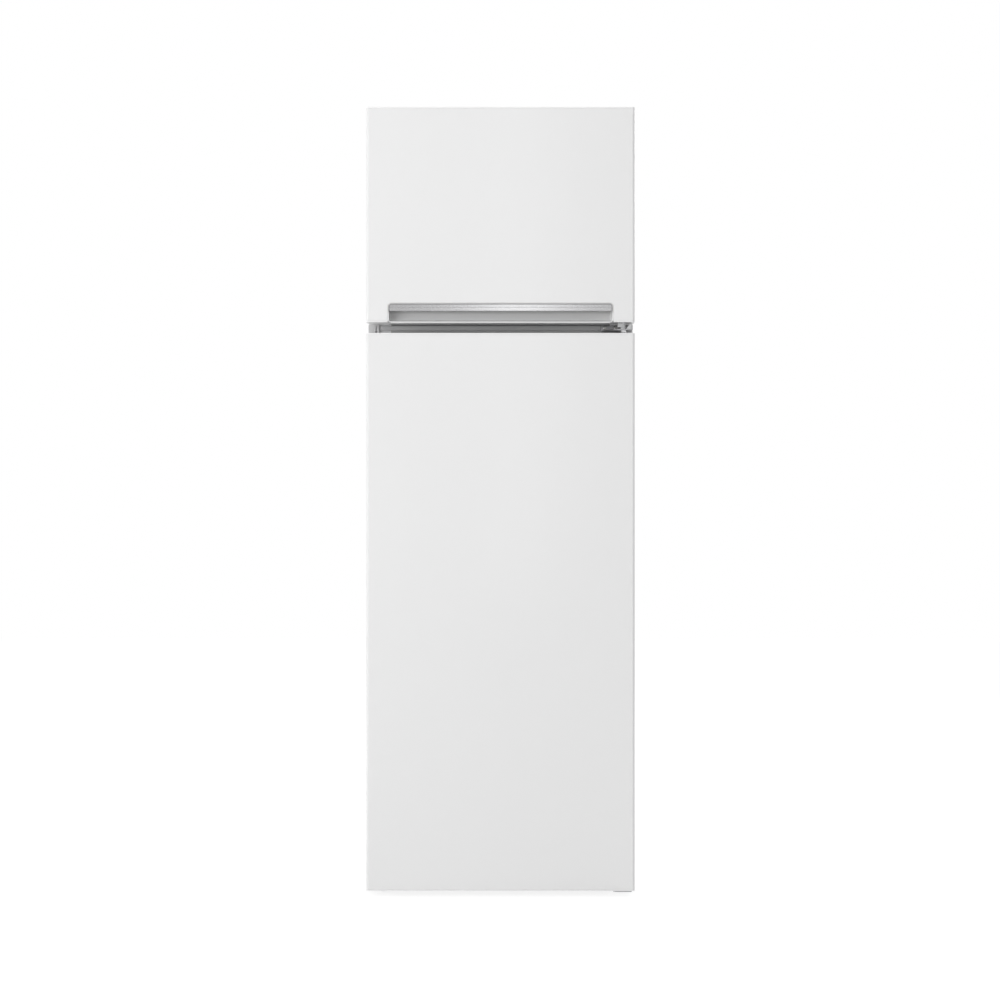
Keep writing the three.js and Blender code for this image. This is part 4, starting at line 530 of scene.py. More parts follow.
def revolved(radius, height, angle, centre, axis=(0, 0, 1)):
    """A radius and a height over (row, angle) taken round an axis through the centre, closed flat
    at both ends."""
    points = points_of(radius * np.cos(angle), radius * np.sin(angle), height)
    turn = np.array(Vector(axis).to_track_quat("Z", "Y").to_matrix())
    return capped(points @ turn.T + np.array(centre))


def screw_head(centre, axis=FRONT, scale=1.0):
    """A pan head: a dome over (radius, angle) with a cross pressed in where either arm is near."""
    share = np.concatenate([[0.02], np.linspace(0.25, 0.85, 9), [0.95, 1.0, 1.0]])
    radius = share[:, None] * SCREW_RADIUS
    angle = round_angles(40) + CROSS_TURN
    u, v = np.abs(radius * np.cos(angle)), np.abs(radius * np.sin(angle))
    dome = SCREW_HEAD * np.sqrt(np.maximum(1 - (radius / DOME_RADIUS) ** 2, 0))
    in_cross = np.maximum(1 - np.minimum(u, v) / CROSS_HALF, 0) ** 0.5 \
        * (np.maximum(u, v) < CROSS_REACH)
    height = dome - CROSS_DEPTH * in_cross
    height[-1] = 0
    return revolved(radius * scale, height * scale, angle, centre, axis)


screw_zinc = surface("zinc_screw", (0.62, 0.62, 0.60), 0.32, 0.95, tone=(0.08, 60.0),
                     gloss=(0.15, 200.0), grain=(900.0, 0.00002))
places = [(side * (panel_high.x - SCREW_INSET), panel_high.y, z) for side in (-1, 1)
          for z in np.linspace(panel_low.z + SCREW_END, panel_high.z - SCREW_END, 6)]
places += [(x, panel_high.y, panel_high.z - SCREW_INSET) for x in TOP_SCREWS]
new_piece("back_panel_screws", [screw_head(place, (0, 1, 0)) for place in places], screw_zinc,
          "cabinet")

# ---------------------------------------------------------------------------
# Insulation. Rigid polyurethane foamed in place between the steel and the
# liners, straw-coloured with a fine cell structure; it never shows when whole.
foam = surface("polyurethane_foam", (0.80, 0.66, 0.36), 0.95, tone=(0.12, 30.0),
               grain=(180.0, 0.0006))
dress(["cabinet_foam", "freezer_door_foam", "fridge_door_foam"], foam)
FOAM_SHRINK = 3.5 * MM # along a corner's diagonal, so that it stays under the liners' soft folds
for name in ("freezer_door_foam", "fridge_door_foam"):
    add_modifier(nodes[name], "weld", "WELD", merge_threshold=WELD_REACH)
    add_modifier(nodes[name], "shrink", "DISPLACE", mid_level=0.0, strength=-FOAM_SHRINK)

# ---------------------------------------------------------------------------
# Compartment liners. Vacuum-formed high-impact polystyrene, white and slightly
# glossy: a box with soft corners, a folded lip round its mouth, and a step at the
# foot of the fridge compartment where the compressor niche stands behind it.
LINER_SHEET = 1.4 * MM
LINER_WALL = 1.5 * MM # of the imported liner, outside its room
SEAM_REACH = 0.00002
ROOM_CORNER = 14 * MM
LEAST_CORNER = 0.2 * MM
CORNER_STEPS = 9
MOUTH_RADIUS = 1.8 * MM
LIP_CORNER = 1 * MM
LIP_STEP = 3.7 * MM # the lip stands this far past the mouth, above and below
STEP_TOP = 325 * MM
STEP_FRONT = 50 * MM
SHELF_PLAY = 1.5 * MM # between a shelf's end and the wall
LEDGE_HEIGHT = 9 * MM
LEDGE_WIDTH = 6 * MM
LEDGE_SINK = 0.3 * MM # under the shelf that it carries
LEDGE_REAR_STOP = 20 * MM
LEDGE_END = 5 * MM # length of its rounded ends
LEDGE_TIP = 0.02 # share of the section left at the very end
SQUARISH = 0.6 # power of the sine and cosine that makes an ellipse squarish


def moved_aside(points, distance, closed=False):
    """A path moved to its right by a distance, its corners mitred."""
    points = np.asarray(points, float)
    step = np.roll(points, -1, 0) - points
    after = np.stack([step[:, 1], -step[:, 0]], 1) / np.linalg.norm(step, axis=1)[:, None]
    before = np.roll(after, 1, 0)
    if not closed:
        before[0], after[-1] = after[0], after[-2]
    mitre = before + after
    return points + mitre / (mitre * before).sum(1)[:, None] * distance


def side_to_side(half, corner):
    """Places from left to right, and how far a quarter circle at each side draws in there."""
    turn = np.linspace(0, math.pi / 2, CORNER_STEPS)
    x = half - corner * (1 - np.sin(turn))
    drawn = corner * (1 - np.cos(turn))
    return np.concatenate([-x[::-1], x]), np.concatenate([drawn[::-1], drawn])


def ring_around(half, low, high, corner):
    """A rounded rectangle's points: along the bottom from left to right, and back along the top."""
    x, rise = side_to_side(half, corner)
    return np.column_stack([np.concatenate([x, x[::-1]]),
                            np.concatenate([low + rise, high - rise[::-1]])])


def turned_over(faces):
    """The same faces seen from their other side."""
    return [face[::-1] for face in faces]


def room_surface(profile, bends, half, lip_half, lip_low, lip_high):
    """A room's walls: its profile from the mouth's foot round to its top is carried across, and
    shrinks by a quarter circle at each side, where a flat side wall closes it. The mouth's edge
    rolls outwards into the flat lip."""
    rows = []
    for x, drawn in zip(*side_to_side(half, ROOM_CORNER)):
        radii = [max(ROOM_CORNER - drawn, LEAST_CORNER) if bend > 0 else ROOM_CORNER / 2 + drawn
                 for bend in bends]
        path = rounded_path(moved_aside(profile, -drawn), radii, CORNER_STEPS)
        rows.append(np.insert(path, 0, x, axis=1))
    walls, wall_faces = capped(np.array(rows), wrap=False)
    (front, low), (_, high) = profile[0], profile[-1]
    rings = []
    for angle in np.linspace(0, math.pi / 2, 5):
        out = MOUTH_RADIUS * (1 - math.cos(angle))
        ring = ring_around(half + out, low - out, high + out, ROOM_CORNER + out)
        rings.append(at_depth(ring, front - MOUTH_RADIUS * math.sin(angle)))
    rings.append(at_depth(ring_around(lip_half, lip_low, lip_high, LIP_CORNER),
                          front - MOUTH_RADIUS))
    lip_faces = grid_faces(len(rings), len(rings[0]), wrap_columns=True)
    return join_grids([(walls, turned_over(wall_faces)), (np.array(rings), turned_over(lip_faces))])


def thicken(piece):
    """Joins an open sheet's vertices that coincide, and gives it its thickness behind its faces."""
    add_modifier(piece, "seams", "WELD", merge_threshold=SEAM_REACH)
    add_modifier(piece, "sheet", "SOLIDIFY", thickness=LINER_SHEET, offset=-1,
                 use_even_offset=True)


def moulded_ledge(side, wall, top, y0, y1, width=LEDGE_WIDTH):
    """A half-round ledge along a side wall: its section, a squarish half ellipse, shrinks to
    nothing by a quarter circle at each end."""
    angle = np.linspace(-math.pi / 2, math.pi / 2, 13)
    out = width * np.abs(np.cos(angle)) ** SQUARISH
    up = np.sign(angle) * LEDGE_HEIGHT / 2 * np.abs(np.sin(angle)) ** SQUARISH
    end = np.linspace(0, 1, 7)
    y = np.concatenate([y0 + LEDGE_END * (1 - end[::-1]), y1 - LEDGE_END * (1 - end)])
    past = np.concatenate([end[::-1], end])
    scale = np.maximum(np.sqrt(1 - past ** 2), LEDGE_TIP)[:, None]
    return capped(points_of(side * (wall - scale * out), y[:, None],
                            top - LEDGE_HEIGHT / 2 + scale * up))


liner_plastic = surface("liner_polystyrene", (0.84, 0.84, 0.84), 0.30, tone=(0.01, 2.0),
                        grain=(260.0, 0.00006), Coat_Weight=0.15, Coat_Roughness=0.2)
LINER_SHELVES = {"fridge_liner": ["crisper_cover", "shelf_1", "shelf_2", "shelf_3"],
                 "freezer_liner": ["freezer_shelf"]}
for name, shelves in LINER_SHELVES.items():
    low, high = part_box(name)
    shelf_low, shelf_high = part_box(shelves[-1])
    half = shelf_high.x + SHELF_PLAY
    foot, ceiling = low.z + LIP_STEP, high.z - LIP_STEP
    front, back = low.y + MOUTH_RADIUS, high.y - LINER_WALL
    profile, bends = [(front, foot), (back, foot), (back, ceiling), (front, ceiling)], [1, 1]
    if name == "fridge_liner":
        profile[1:2] = [(STEP_FRONT, foot), (STEP_FRONT, STEP_TOP), (back, STEP_TOP)]
        bends = [1, -1, 1, 1]
    thicken(new_piece(f"{name}_shell",
                      [room_surface(profile, bends, half, high.x, low.z, high.z)],
                      liner_plastic, "cabinet", [name], open_sheet=True))
    ledges = []
    for shelf in shelves:
        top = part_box(shelf)[0].z - LEDGE_SINK
        end = STEP_FRONT if shelf == "crisper_cover" else back - LEDGE_REAR_STOP
        ledges += [moulded_ledge(side, half, top, shelf_low.y, end) for side in (-1, 1)]
    new_piece(f"{name}_ledges", ledges, liner_plastic, "cabinet")

# ---------------------------------------------------------------------------
# Door skins. One pre-painted steel sheet for each door, rolled round both sides
# and hemmed in behind; a white enamel with a very fine orange peel.
DOOR_SHEET = 0.8 * MM
SHEET_EDGE = 0.3 * DOOR_SHEET # radius of its cut edges
LEAST_INNER = 0.1 * DOOR_SHEET # radius inside a tight bend
SKIN_FRONT_RADIUS = 6 * MM
SKIN_REAR_RADIUS = 4 * MM
SKIN_RETURN = 14 * MM
NOTCH_DEPTH = 12.7 * MM # the freezer door's side stops this far below its top, for the hinge
NOTCH_FRONT = 5.5 * MM
NOTCH_BEND = 0.9 * NOTCH_FRONT
RECESS_CORNER = 8.3 * MM
PIECE_GAP = 0.3 * MM


def bent_sheet(path, bends):
    """The closed outline of a sheet bent along a path, tighter inside a bend by the sheet."""
    inner = moved_aside(path, -DOOR_SHEET)[::-1]
    inner_bends = [max(bend - DOOR_SHEET, LEAST_INNER) for bend in bends[::-1]]
    return rounded(np.vstack([path, inner]),
                   [SHEET_EDGE, *bends, SHEET_EDGE, SHEET_EDGE, *inner_bends, SHEET_EDGE], 8)


def extruded(outline, axis, start, end):
    """An outline carried straight along an axis from start to end, closed at both ends."""
    return capped(np.array([np.insert(outline, axis, place, axis=1) for place in (start, end)]))


def recess_corner(side, cut_x, cut_z, front):
    """The sheet inside a rounded corner of the recess: a square corner less a quarter circle."""
    turn = np.linspace(0, math.pi / 2, 13)
    x = np.append(cut_x - RECESS_CORNER * (1 - np.sin(turn)), cut_x)
    z = np.append(cut_z - RECESS_CORNER * (1 - np.cos(turn)), cut_z)
    return extruded(np.column_stack([side * x, z]), 1, front, front + DOOR_SHEET)


def door_sheet(node, recess=None, notch=False):
    """The skin as straight lengths of the bent sheet, one above another: a stub at each side of the
    recess, the whole width above it, and one that stops short of the hinge at the top."""
    low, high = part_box(node)
    half, front, rear, foot = high.x, low.y, high.y, low.z
    mouth = half - SKIN_RETURN
    parts = []
    if recess:
        cut_x, cut_z = recess
        for side in (-1, 1):
            stub = [(side * x, y) for x, y in ((cut_x, front), (half, front), (half, rear),
                                               (mouth, rear))]
            bends = [SKIN_FRONT_RADIUS, SKIN_REAR_RADIUS]
            parts.append(extruded(bent_sheet(stub[::side], bends[::side]), 2, foot, cut_z))
        parts += [recess_corner(side, cut_x, cut_z, front) for side in (-1, 1)]
        foot = cut_z
    wide = [(-mouth, rear), (-half, rear), (-half, front), (half, front), (half, rear),
            (mouth, rear)]
    bends = [SKIN_REAR_RADIUS, SKIN_FRONT_RADIUS, SKIN_FRONT_RADIUS, SKIN_REAR_RADIUS]
    top = high.z - (NOTCH_DEPTH if notch else 0)
    parts.append(extruded(bent_sheet(wide, bends), 2, foot, top))
    if notch:
        cut = (half, front + NOTCH_FRONT + SKIN_FRONT_RADIUS / 4)
        parts.append(extruded(bent_sheet([*wide[:4], cut], [*bends[:2], NOTCH_BEND]), 2, top,
                              high.z))
    return parts


door_enamel = surface("door_enamel", (0.835, 0.835, 0.835), 0.34, tone=(0.006, 1.2),
                      gloss=(0.04, 18.0), grain=(1100.0, 0.00004), Coat_Weight=0.25,
                      Coat_Roughness=0.12)
scoop_low, scoop_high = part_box("handle_scoop")
recess = (scoop_high.x + PIECE_GAP, scoop_high.z + PIECE_GAP)
for door, cuts in (("freezer", (recess, True)), ("fridge", ())):
    skin = new_piece(f"{door}_skin", door_sheet(f"{door}_door_skin", *cuts), door_enamel,
                     f"{door}_door", [f"{door}_door_skin"])
    add_modifier(skin, "normals", "WEIGHTED_NORMAL", keep_sharp=True)

# ---------------------------------------------------------------------------
# Door end caps. Injection-moulded in a white a touch brighter than the enamel;
# each closes one end of a door and shows as a thin lip round its edge.
cap_plastic = surface("cap_plastic", (0.90, 0.90, 0.90), 0.40, tone=(0.012, 4.0),
                      grain=(1500.0, 0.00003))
dress([f"{door}_door_{end}_cap" for door in ("freezer", "fridge") for end in ("top", "bottom")],
      cap_plastic, 1.2 * MM, 3)

# ---------------------------------------------------------------------------
# Door gaskets. Extruded soft PVC with a barbed foot pressed into the liner's
# slot, a bellows and a magnet sleeve; four lengths welded at mitred corners.
GASKET_WIDTH = 18 * MM
FOLD_ROUND = 0.6 * MM
FOLD_ANGLE = 20 # degrees; folds sharper than this are rounded
# Half the strip's section from its foot to its face: (share of half the width, share of the depth).
GASKET_SIDE = [(0.30, 0.00), (0.42, 0.10), (0.30, 0.20), (0.34, 0.28), (0.70, 0.34), (0.92, 0.40),
               (0.72, 0.46), (0.66, 0.52), (0.86, 0.58), (0.96, 0.64), (0.80, 0.70), (0.84, 0.76),
               (0.98, 0.82), (1.00, 0.88), (0.97, 0.97), (0.90, 1.00)]


def mitred_frame(low, high):
    """The gasket's section, with its two bellows folds and its magnet sleeve, swept round a box's
    edge in the door's plane: the width moves each side in or out."""
    half = GASKET_WIDTH / 2
    right_side = np.array(GASKET_SIDE) * (half, high.y - low.y)
    across, depth = np.vstack([right_side, right_side[::-1] * (-1, 1)]).T
    left, right = low.x + half - across, high.x - half + across
    bottom, top = low.z + half - across, high.z - half + across
    rings = [points_of(x, low.y + depth, z)
             for x, z in ((left, bottom), (right, bottom), (right, top), (left, top))]
    return np.array(rings), turned_over(grid_faces(4, len(depth), True, True))


gasket_pvc = surface("gasket_pvc", (0.36, 0.36, 0.365), 0.55, tone=(0.05, 7.0),
                     grain=(900.0, 0.00005), Subsurface_Weight=0.05, Subsurface_Scale=0.002)
for door in ("freezer_door", "fridge_door"):
    gasket = new_piece(f"{door}_seal", [mitred_frame(*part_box(f"{door}_gasket"))], gasket_pvc, door,
                       [f"{door}_gasket"])
    add_modifier(gasket, "folds", "BEVEL", width=FOLD_ROUND, segments=2, limit_method="ANGLE",
                 angle_limit=math.radians(FOLD_ANGLE))

# ---------------------------------------------------------------------------
# Door liners. The same vacuum-formed sheet: a flat rim that holds the gasket, a
# ridge all round that fills the compartment's mouth when the door is shut, and a
# sunk middle with lugs at both sides that the bins hang on.
RIDGE_CLEARANCE = 9.5 * MM # ridge to the compartment's floor and ceiling
RIDGE_WIDTH = 28 * MM
RIDGE_CORNER = 12 * MM
DOOR_RIM_DROP = 25 * MM # rim in front of the ridge's top
RIM_EDGE = 4 * MM # of the rim between the gasket's slot and the ridge
RIDGE_LEAN = 0.8 * MM # of its outer side, and half as much of its inner one
PAN_EDGE = 5 * MM # of the sunk middle, beside the ridge's foot
RIDGE_BENDS = (2.5 * MM, 5 * MM, 5 * MM, 1.5 * MM)
LUG_WIDTH = 7.5 * MM
LUG_LENGTH = 32 * MM
BIN_PLAY = 1.2 * MM # between a bin's side and the ridge


def door_pan(low, high, half, foot, ceiling):
    """Rings carried round the door from its rim to its sunk middle: each is a rounded rectangle
    whose inset and depth come from a section with soft folds, and the last is closed flat."""
    rim, top, pan = high.y - DOOR_RIM_DROP, high.y, low.y + LINER_WALL
    section = rounded_path([(-RIM_EDGE, rim), (0, rim), (RIDGE_LEAN, top),
                            (RIDGE_WIDTH - RIDGE_LEAN / 2, top), (RIDGE_WIDTH, pan),
                            (RIDGE_WIDTH + PAN_EDGE, pan)], RIDGE_BENDS, 7)
    rings = [at_depth(ring_around(high.x, low.z, high.z, LIP_CORNER), rim)]
    rings += [at_depth(ring_around(half - inset, foot + inset, ceiling - inset,
                                   RIDGE_CORNER - inset / 4), y) for inset, y in section]
    rows, count = len(rings), len(rings[0])
    middle = list(range((rows - 1) * count, rows * count))
    return np.array(rings), turned_over(grid_faces(rows, count, wrap_columns=True) + [middle])


DOOR_BINS = {"fridge_door": ["bottle_bin", "door_bin_1", "door_bin_2"],
             "freezer_door": ["freezer_door_rack"]}
for door, bins in DOOR_BINS.items():
    low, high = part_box(f"{door}_liner")
    room_low, room_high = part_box(door.replace("_door", "_liner"))
    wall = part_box(bins[0])[1].x + BIN_PLAY
    pan = door_pan(low, high, wall + RIDGE_WIDTH, room_low.z + LIP_STEP + RIDGE_CLEARANCE,
                   room_high.z - LIP_STEP - RIDGE_CLEARANCE)
    thicken(new_piece(f"{door}_inner_pan", [pan], liner_plastic, door,
                      [f"{door}_liner"], open_sheet=True))
    lugs = [moulded_ledge(side, wall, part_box(name)[0].z - LEDGE_SINK, low.y + LINER_WALL,
                          low.y + LUG_LENGTH, LUG_WIDTH) for name in bins for side in (-1, 1)]
    new_piece(f"{door}_bin_lugs", lugs, liner_plastic, door)

# ---------------------------------------------------------------------------
# Handle. A satin silver bar let into the freezer door's lower edge over a grey
# moulded scoop; the bar has a shallow groove along it and turned-back ends.
BAR_END_TURN = 2 * MM
BAR_CORNER = 6 * MM
BAR_RIM = 1.2 * MM # thickness left at its ends, and rise of its foot there
CORNER_FALL = 0.9 # of the corner's radius, how far the top falls
# The bar's face from its foot to its top, as (share of the height, depth back in millimetres): two
# soft bands with a groove between them, and both rims rolled back.
BAR_FACE = [(0.0, 0.9), (0.01, 0.38), (0.03, 0.12), (0.06, 0.02), (0.20, 0.0), (0.34, 0.0),
            (0.42, 0.01), (0.46, 0.09), (0.50, 0.20), (0.54, 0.09), (0.58, 0.01), (0.66, 0.0),
            (0.80, 0.0), (0.94, 0.02), (0.97, 0.12), (0.99, 0.38), (1.0, 0.9)]


def along_door(half, corner, end_steps, middle_steps):
    """Places from one end to the other, closer together where a corner turns at each end."""
    tail = half - corner * (1 - np.sin(np.linspace(0, math.pi / 2, end_steps)))
    middle = np.linspace(-tail[0], tail[0], middle_steps)[1:-1]
    return np.concatenate([-tail[::-1], middle, tail])[:, None]


def quarter_fall(place, half, corner):
    """How far a quarter circle has fallen, from 0 to 1, over the last length before each end."""
    past = np.clip((np.abs(place) - (half - corner)) / corner, 0, 1)
    return 1 - np.sqrt(1 - past ** 2)


def handle_bar_surface(low, high):
    """The section carried along the bar. Its top corners round off by a quarter circle, and the
    last of each end turns back by a smaller one."""
    height, depth = np.array(BAR_FACE).T
    half, centre = (high.x - low.x) / 2, (high.x + low.x) / 2
    s = along_door(half, BAR_CORNER, 14, 25)
    drop = quarter_fall(s, half, BAR_CORNER)
    back = quarter_fall(s, half, BAR_END_TURN)
    y = low.y + np.minimum(depth * MM + back * BAR_END_TURN, high.y - low.y - BAR_RIM)
    top = high.z - low.z - BAR_CORNER * drop * CORNER_FALL
    z = low.z + BAR_RIM * drop * (1 - height) + height * top
    rear = points_of(centre + s, high.y, z)
    points, faces = capped(np.concatenate([points_of(centre + s, y, z), rear[:, ::-1]], axis=1))
    return points, turned_over(faces)


bar_finish = surface("satin_silver", (0.415, 0.415, 0.42), 0.16, 0.95, tone=(0.02, 12.0),
                     gloss=(0.02, 60.0), grain=(500.0, 0.000001), stretch=(0.02, 1, 1))
GROOVE_SHADE = 0.88
EDGE_SHADE = 0.72

bar_low, bar_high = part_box("handle_bar")
# Painted shade: the bar's colour is darkened a little along its groove and more at its foot and its
# top edge.
shade_by_height(bar_finish, bar_low.z, bar_high.z, [
    (0.0, 0.85), (0.05, 1.0), (0.40, 1.0), (0.50, GROOVE_SHADE), (0.60, 0.97), (0.82, 1.0),
    (0.94, EDGE_SHADE), (1.0, EDGE_SHADE)])
bar = new_piece("handle_grip_bar", [handle_bar_surface(bar_low, bar_high)], bar_finish,
                "freezer_door", ["handle_bar"])
add_modifier(bar, "normals", "WEIGHTED_NORMAL", keep_sharp=True)

SCOOP_RIM = 2 * MM
SCOOP_LIP = 1.6 * MM
SCOOP_WALL = 2.4 * MM
SCOOP_CORNER = 8 * MM
SCOOP_FOOT_CORNER = 0.5 * MM
SCOOP_FOOT = 3 * MM
SCOOP_CURVE = 20 * MM
SCOOP_TOP_FILLET = 4 * MM
SCOOP_TOP_LAND = 2 * MM # flat of the top behind its front edge
FIRST_DEPTH = 0.02 # of the full depth, where the dished ends start
LIP_BEAD = 2 * MM # radius of the bead along the front of its floor
BEAD_SETBACK = 1.1 * LIP_BEAD
BEAD_DROP = 0.2 * LIP_BEAD


def rectangle(left, low, right, high):
    """The four corners of an upright rectangle, from its lower left one round by the right."""
    return [(left, low), (right, low), (right, high), (left, high)]


def nearest_on_loop(loop, places):
    """For each place, the nearest point on a closed loop of straight steps."""
    step = np.roll(loop, -1, 0) - loop
    length = np.maximum((step ** 2).sum(1), 1e-18)
    share = ((places[:, None] - loop) * step).sum(2) / length
    foot = loop + np.clip(share, 0, 1)[..., None] * step
    best = ((foot - places[:, None]) ** 2).sum(2).argmin(1)
    return foot[np.arange(len(places)), best]


def scoop_surface(low, high):
    """A channel in the door's lower edge. Its section, a quarter ellipse up from the lip into the
    back wall and a fillet under the top, keeps its shape along the door; at each end the wall
    closes inwards from a rounded outline, by a quarter circle of the depth."""
    front, back = low.y, high.y - SCOOP_WALL
    floor, top = low.z + SCOOP_LIP, high.z - SCOOP_RIM
    fillet = top - SCOOP_TOP_FILLET
    angle = np.linspace(0, math.pi / 2, 16)
    soft = np.linspace(0, math.pi / 2, 7)[1:]
    y = np.concatenate([front + (back - front) * np.sin(angle), [back, back],
                        back - SCOOP_TOP_FILLET * (1 - np.cos(soft)),
                        [front + SCOOP_TOP_LAND, front]])
    z = np.concatenate([floor + SCOOP_CURVE * (1 - np.cos(angle)),
                        np.linspace(floor + SCOOP_CURVE, fillet, 4)[1:3],
                        fillet + SCOOP_TOP_FILLET * np.sin(soft), [top, top]])
    half, corner = high.x - SCOOP_RIM, SCOOP_CORNER - SCOOP_RIM
    s = along_door(half, corner, 13, 11)
    fall = quarter_fall(s, half, corner)
    footing = floor + SCOOP_FOOT * fall
    height = footing + (z - floor) / (top - floor) * (top - corner * fall - footing)
    room, room_faces = capped(
        points_of(s, front + (y - front) * np.maximum(1 - fall, FIRST_DEPTH), height), wrap=False)
    rim = np.vstack([room[:, 0], room[-1, 1:-1], room[::-1, -1], room[0, -2:0:-1]])[:, [0, 2]]
    edge = nearest_on_loop(
        rounded(rectangle(low.x, low.z, high.x, high.z),
                [SCOOP_FOOT_CORNER, SCOOP_FOOT_CORNER, SCOOP_CORNER, SCOOP_CORNER], 12), rim)
    shell = np.array([at_depth(rim, front), at_depth(edge, front), at_depth(edge, high.y)])
    back_face = list(range(2 * len(rim), 3 * len(rim)))
    return join_grids([(room, room_faces),
                       (shell, grid_faces(3, len(rim), wrap_columns=True) + [back_face])])


def lip_bead(low, high):
    """A round bead along the scoop's front edge: a circle carried along it, tapered at its ends."""
    angle = round_angles(16)
    end = np.linspace(0, 1, 6)
    half = high.x - SCOOP_CORNER
    x = np.concatenate([-half - LIP_BEAD * end[::-1], half + LIP_BEAD * end])[:, None]
    past = np.concatenate([end[::-1], end])[:, None]
    radius = LIP_BEAD * np.sqrt(np.maximum(1 - past ** 2, 0.001))
    return capped(points_of(x, low.y + BEAD_SETBACK - radius * np.cos(angle),
                            low.z - BEAD_DROP + radius * np.sin(angle)))


scoop_plastic = surface("scoop_plastic", (0.90, 0.90, 0.90), 0.42, tone=(0.02, 6.0),
                        grain=(1400.0, 0.00004))
# Painted light and shade: the scoop's colour is lighter in a band just above its foot, where the
# curve faces up to the light, and darker towards the top, where it lies in shade under the bar.
shade_by_height(scoop_plastic, scoop_low.z, scoop_high.z, [
    (0.0, 0.80), (0.05, 0.82), (0.10, 0.98), (0.15, 1.0), (0.20, 0.97), (0.28, 0.94),
    (0.40, 0.92), (0.46, 0.89), (0.51, 0.78), (0.56, 0.66)])
new_piece("handle_scoop_shell",
          [scoop_surface(scoop_low, scoop_high), lip_bead(scoop_low, scoop_high)], scoop_plastic,
          "freezer_door", ["handle_scoop"])

# ---------------------------------------------------------------------------
# Hinges. Pressed zinc-plated steel plates with turned pins. The middle one screws
# to the parting rail and carries a grey nylon bush above it for the freezer door,
# a bright steel collar below it for the fridge door, and a small nylon stop.
TURNED_STEPS = 32


def inset_loop(outline, distance):
    """A closed outline moved inwards by a distance."""
    after = np.roll(outline, -1, 0)
    way = np.sign((outline[:, 0] * after[:, 1] - after[:, 0] * outline[:, 1]).sum())
    return moved_aside(outline, -way * distance, closed=True)


def soft_plate(outline, low, high, edge, axis=2):
    """An outline carried along an axis from low to high, both rims rolled in by a quarter circle of
    the edge's radius."""
    turn = np.linspace(0, math.pi / 2, 4)
    rise, inset = edge * (1 - np.cos(turn)), edge * (1 - np.sin(turn))
    rings = [*zip(inset, low + rise), *zip(inset[::-1], high - rise[::-1])]
    return capped(np.array([np.insert(inset_loop(outline, moved), axis, height, axis=1)
                            for moved, height in rings]))


def turned(profile, centre, axis=(0, 0, 1)):
    """A profile of (radius, height) carried round an axis through the centre, closed both ends."""
    radius, height = np.array(profile, float).T[..., None]
    return revolved(radius, height, round_angles(TURNED_STEPS), centre, axis)


# Painted shade: the hinge steel has a much darker colour than bare zinc plating, for the hinges that
# lie in shadow.
hinge_steel_painted_shade = surface("hinge_steel_painted_shade", (0.37, 0.37, 0.38), 0.42, 0.9, tone=(0.06, 40.0),
                      gloss=(0.12, 150.0), grain=(800.0, 0.00003))
bright_steel = surface("bright_steel", (0.78, 0.78, 0.79), 0.20, 0.95, tone=(0.04, 60.0),
                       gloss=(0.1, 200.0), grain=(900.0, 0.00002))
bush_nylon = surface("bush_nylon", (0.58, 0.585, 0.59), 0.45, tone=(0.03, 30.0),
                     grain=(900.0, 0.00005))
dress(["bottom_hinge", "top_hinge"], hinge_steel_painted_shade, 0.4 * MM)
dress(["top_hinge_cover"], cap_plastic, 0.8 * MM, 3)

low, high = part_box("middle_hinge")
PIN_X, PIN_Y = high.x - 19.5 * MM, low.y + 11 * MM
PIN_PLACE = (PIN_X, PIN_Y, 0)
PIN_RADIUS = 4.5 * MM
PIN_CHAMFER = 1 * MM
COLLAR_RADIUS = 6.5 * MM
NECK_RADIUS = 5.9 * MM
COLLAR_HEIGHT = 19 * MM # all heights from the foot of the pin
PLATE_HEIGHT = 25 * MM
PLATE_THICK = 3 * MM
PLATE_EDGE = 0.5 * MM
FLANGE_FOOT, FLANGE_TOP = 22.5 * MM, 39.4 * MM
FLANGE_WIDTH = 47 * MM
BUSH_FOOT, BUSH_TOP = 32.4 * MM, 41.2 * MM
BUSH_REACH = 12.5 * MM # from the pin to the left
BUSH_SHORT = 3 * MM # and to the right
STOP_FRONT, STOP_DEPTH = 1 * MM, 15 * MM
MIDDLE_SCREWS = (10 * MM, 34 * MM) # from the flange's left end
MIDDLE_SCREW_RISE = 5.7 * MM # over the plate
BOTTOM_SCREWS = (9 * MM, 46 * MM)
BOTTOM_SCREW_DROP = 14 * MM # below the flange's top
COVER_SCREW = 16 * MM # from the cover's left end
plate_low = low.z + PLATE_HEIGHT
plate_high = plate_low + PLATE_THICK
plate = rounded(
    [(low.x, high.y), (low.x + 6 * MM, high.y - 11.7 * MM), (PIN_X - 22 * MM, low.y + 5 * MM),
     (PIN_X - 14 * MM, low.y), (high.x, low.y), (high.x, high.y)],
    [0.5 * MM, 6 * MM, 6 * MM, 4 * MM, 5 * MM, 0.5 * MM])
flange = rounded(rectangle(low.x, low.z + FLANGE_FOOT, low.x + FLANGE_WIDTH, low.z + FLANGE_TOP),
                 [1 * MM, 1 * MM, 3 * MM, 3 * MM])
new_piece("middle_hinge_plate",
          [soft_plate(plate, plate_low, plate_high, PLATE_EDGE),
           soft_plate(flange, high.y - PLATE_THICK, high.y, PLATE_EDGE, 1)],
          hinge_steel_painted_shade, "cabinet", ["middle_hinge"])

pin = [(PIN_RADIUS - PIN_CHAMFER, low.z), (PIN_RADIUS, low.z + PIN_CHAMFER),
       (PIN_RADIUS, high.z - PIN_CHAMFER), (PIN_RADIUS - PIN_CHAMFER, high.z)]
collar_low, collar_high = low.z + COLLAR_HEIGHT, plate_low + PLATE_EDGE
collar = [(PIN_RADIUS, collar_low), (NECK_RADIUS, collar_low),
          (COLLAR_RADIUS, collar_low + 0.8 * MM), (COLLAR_RADIUS, collar_high),
          (PIN_RADIUS, collar_high)]
new_piece("middle_hinge_pin", [turned(pin, PIN_PLACE), turned(collar, PIN_PLACE)], bright_steel,
          "cabinet", ["middle_hinge"])

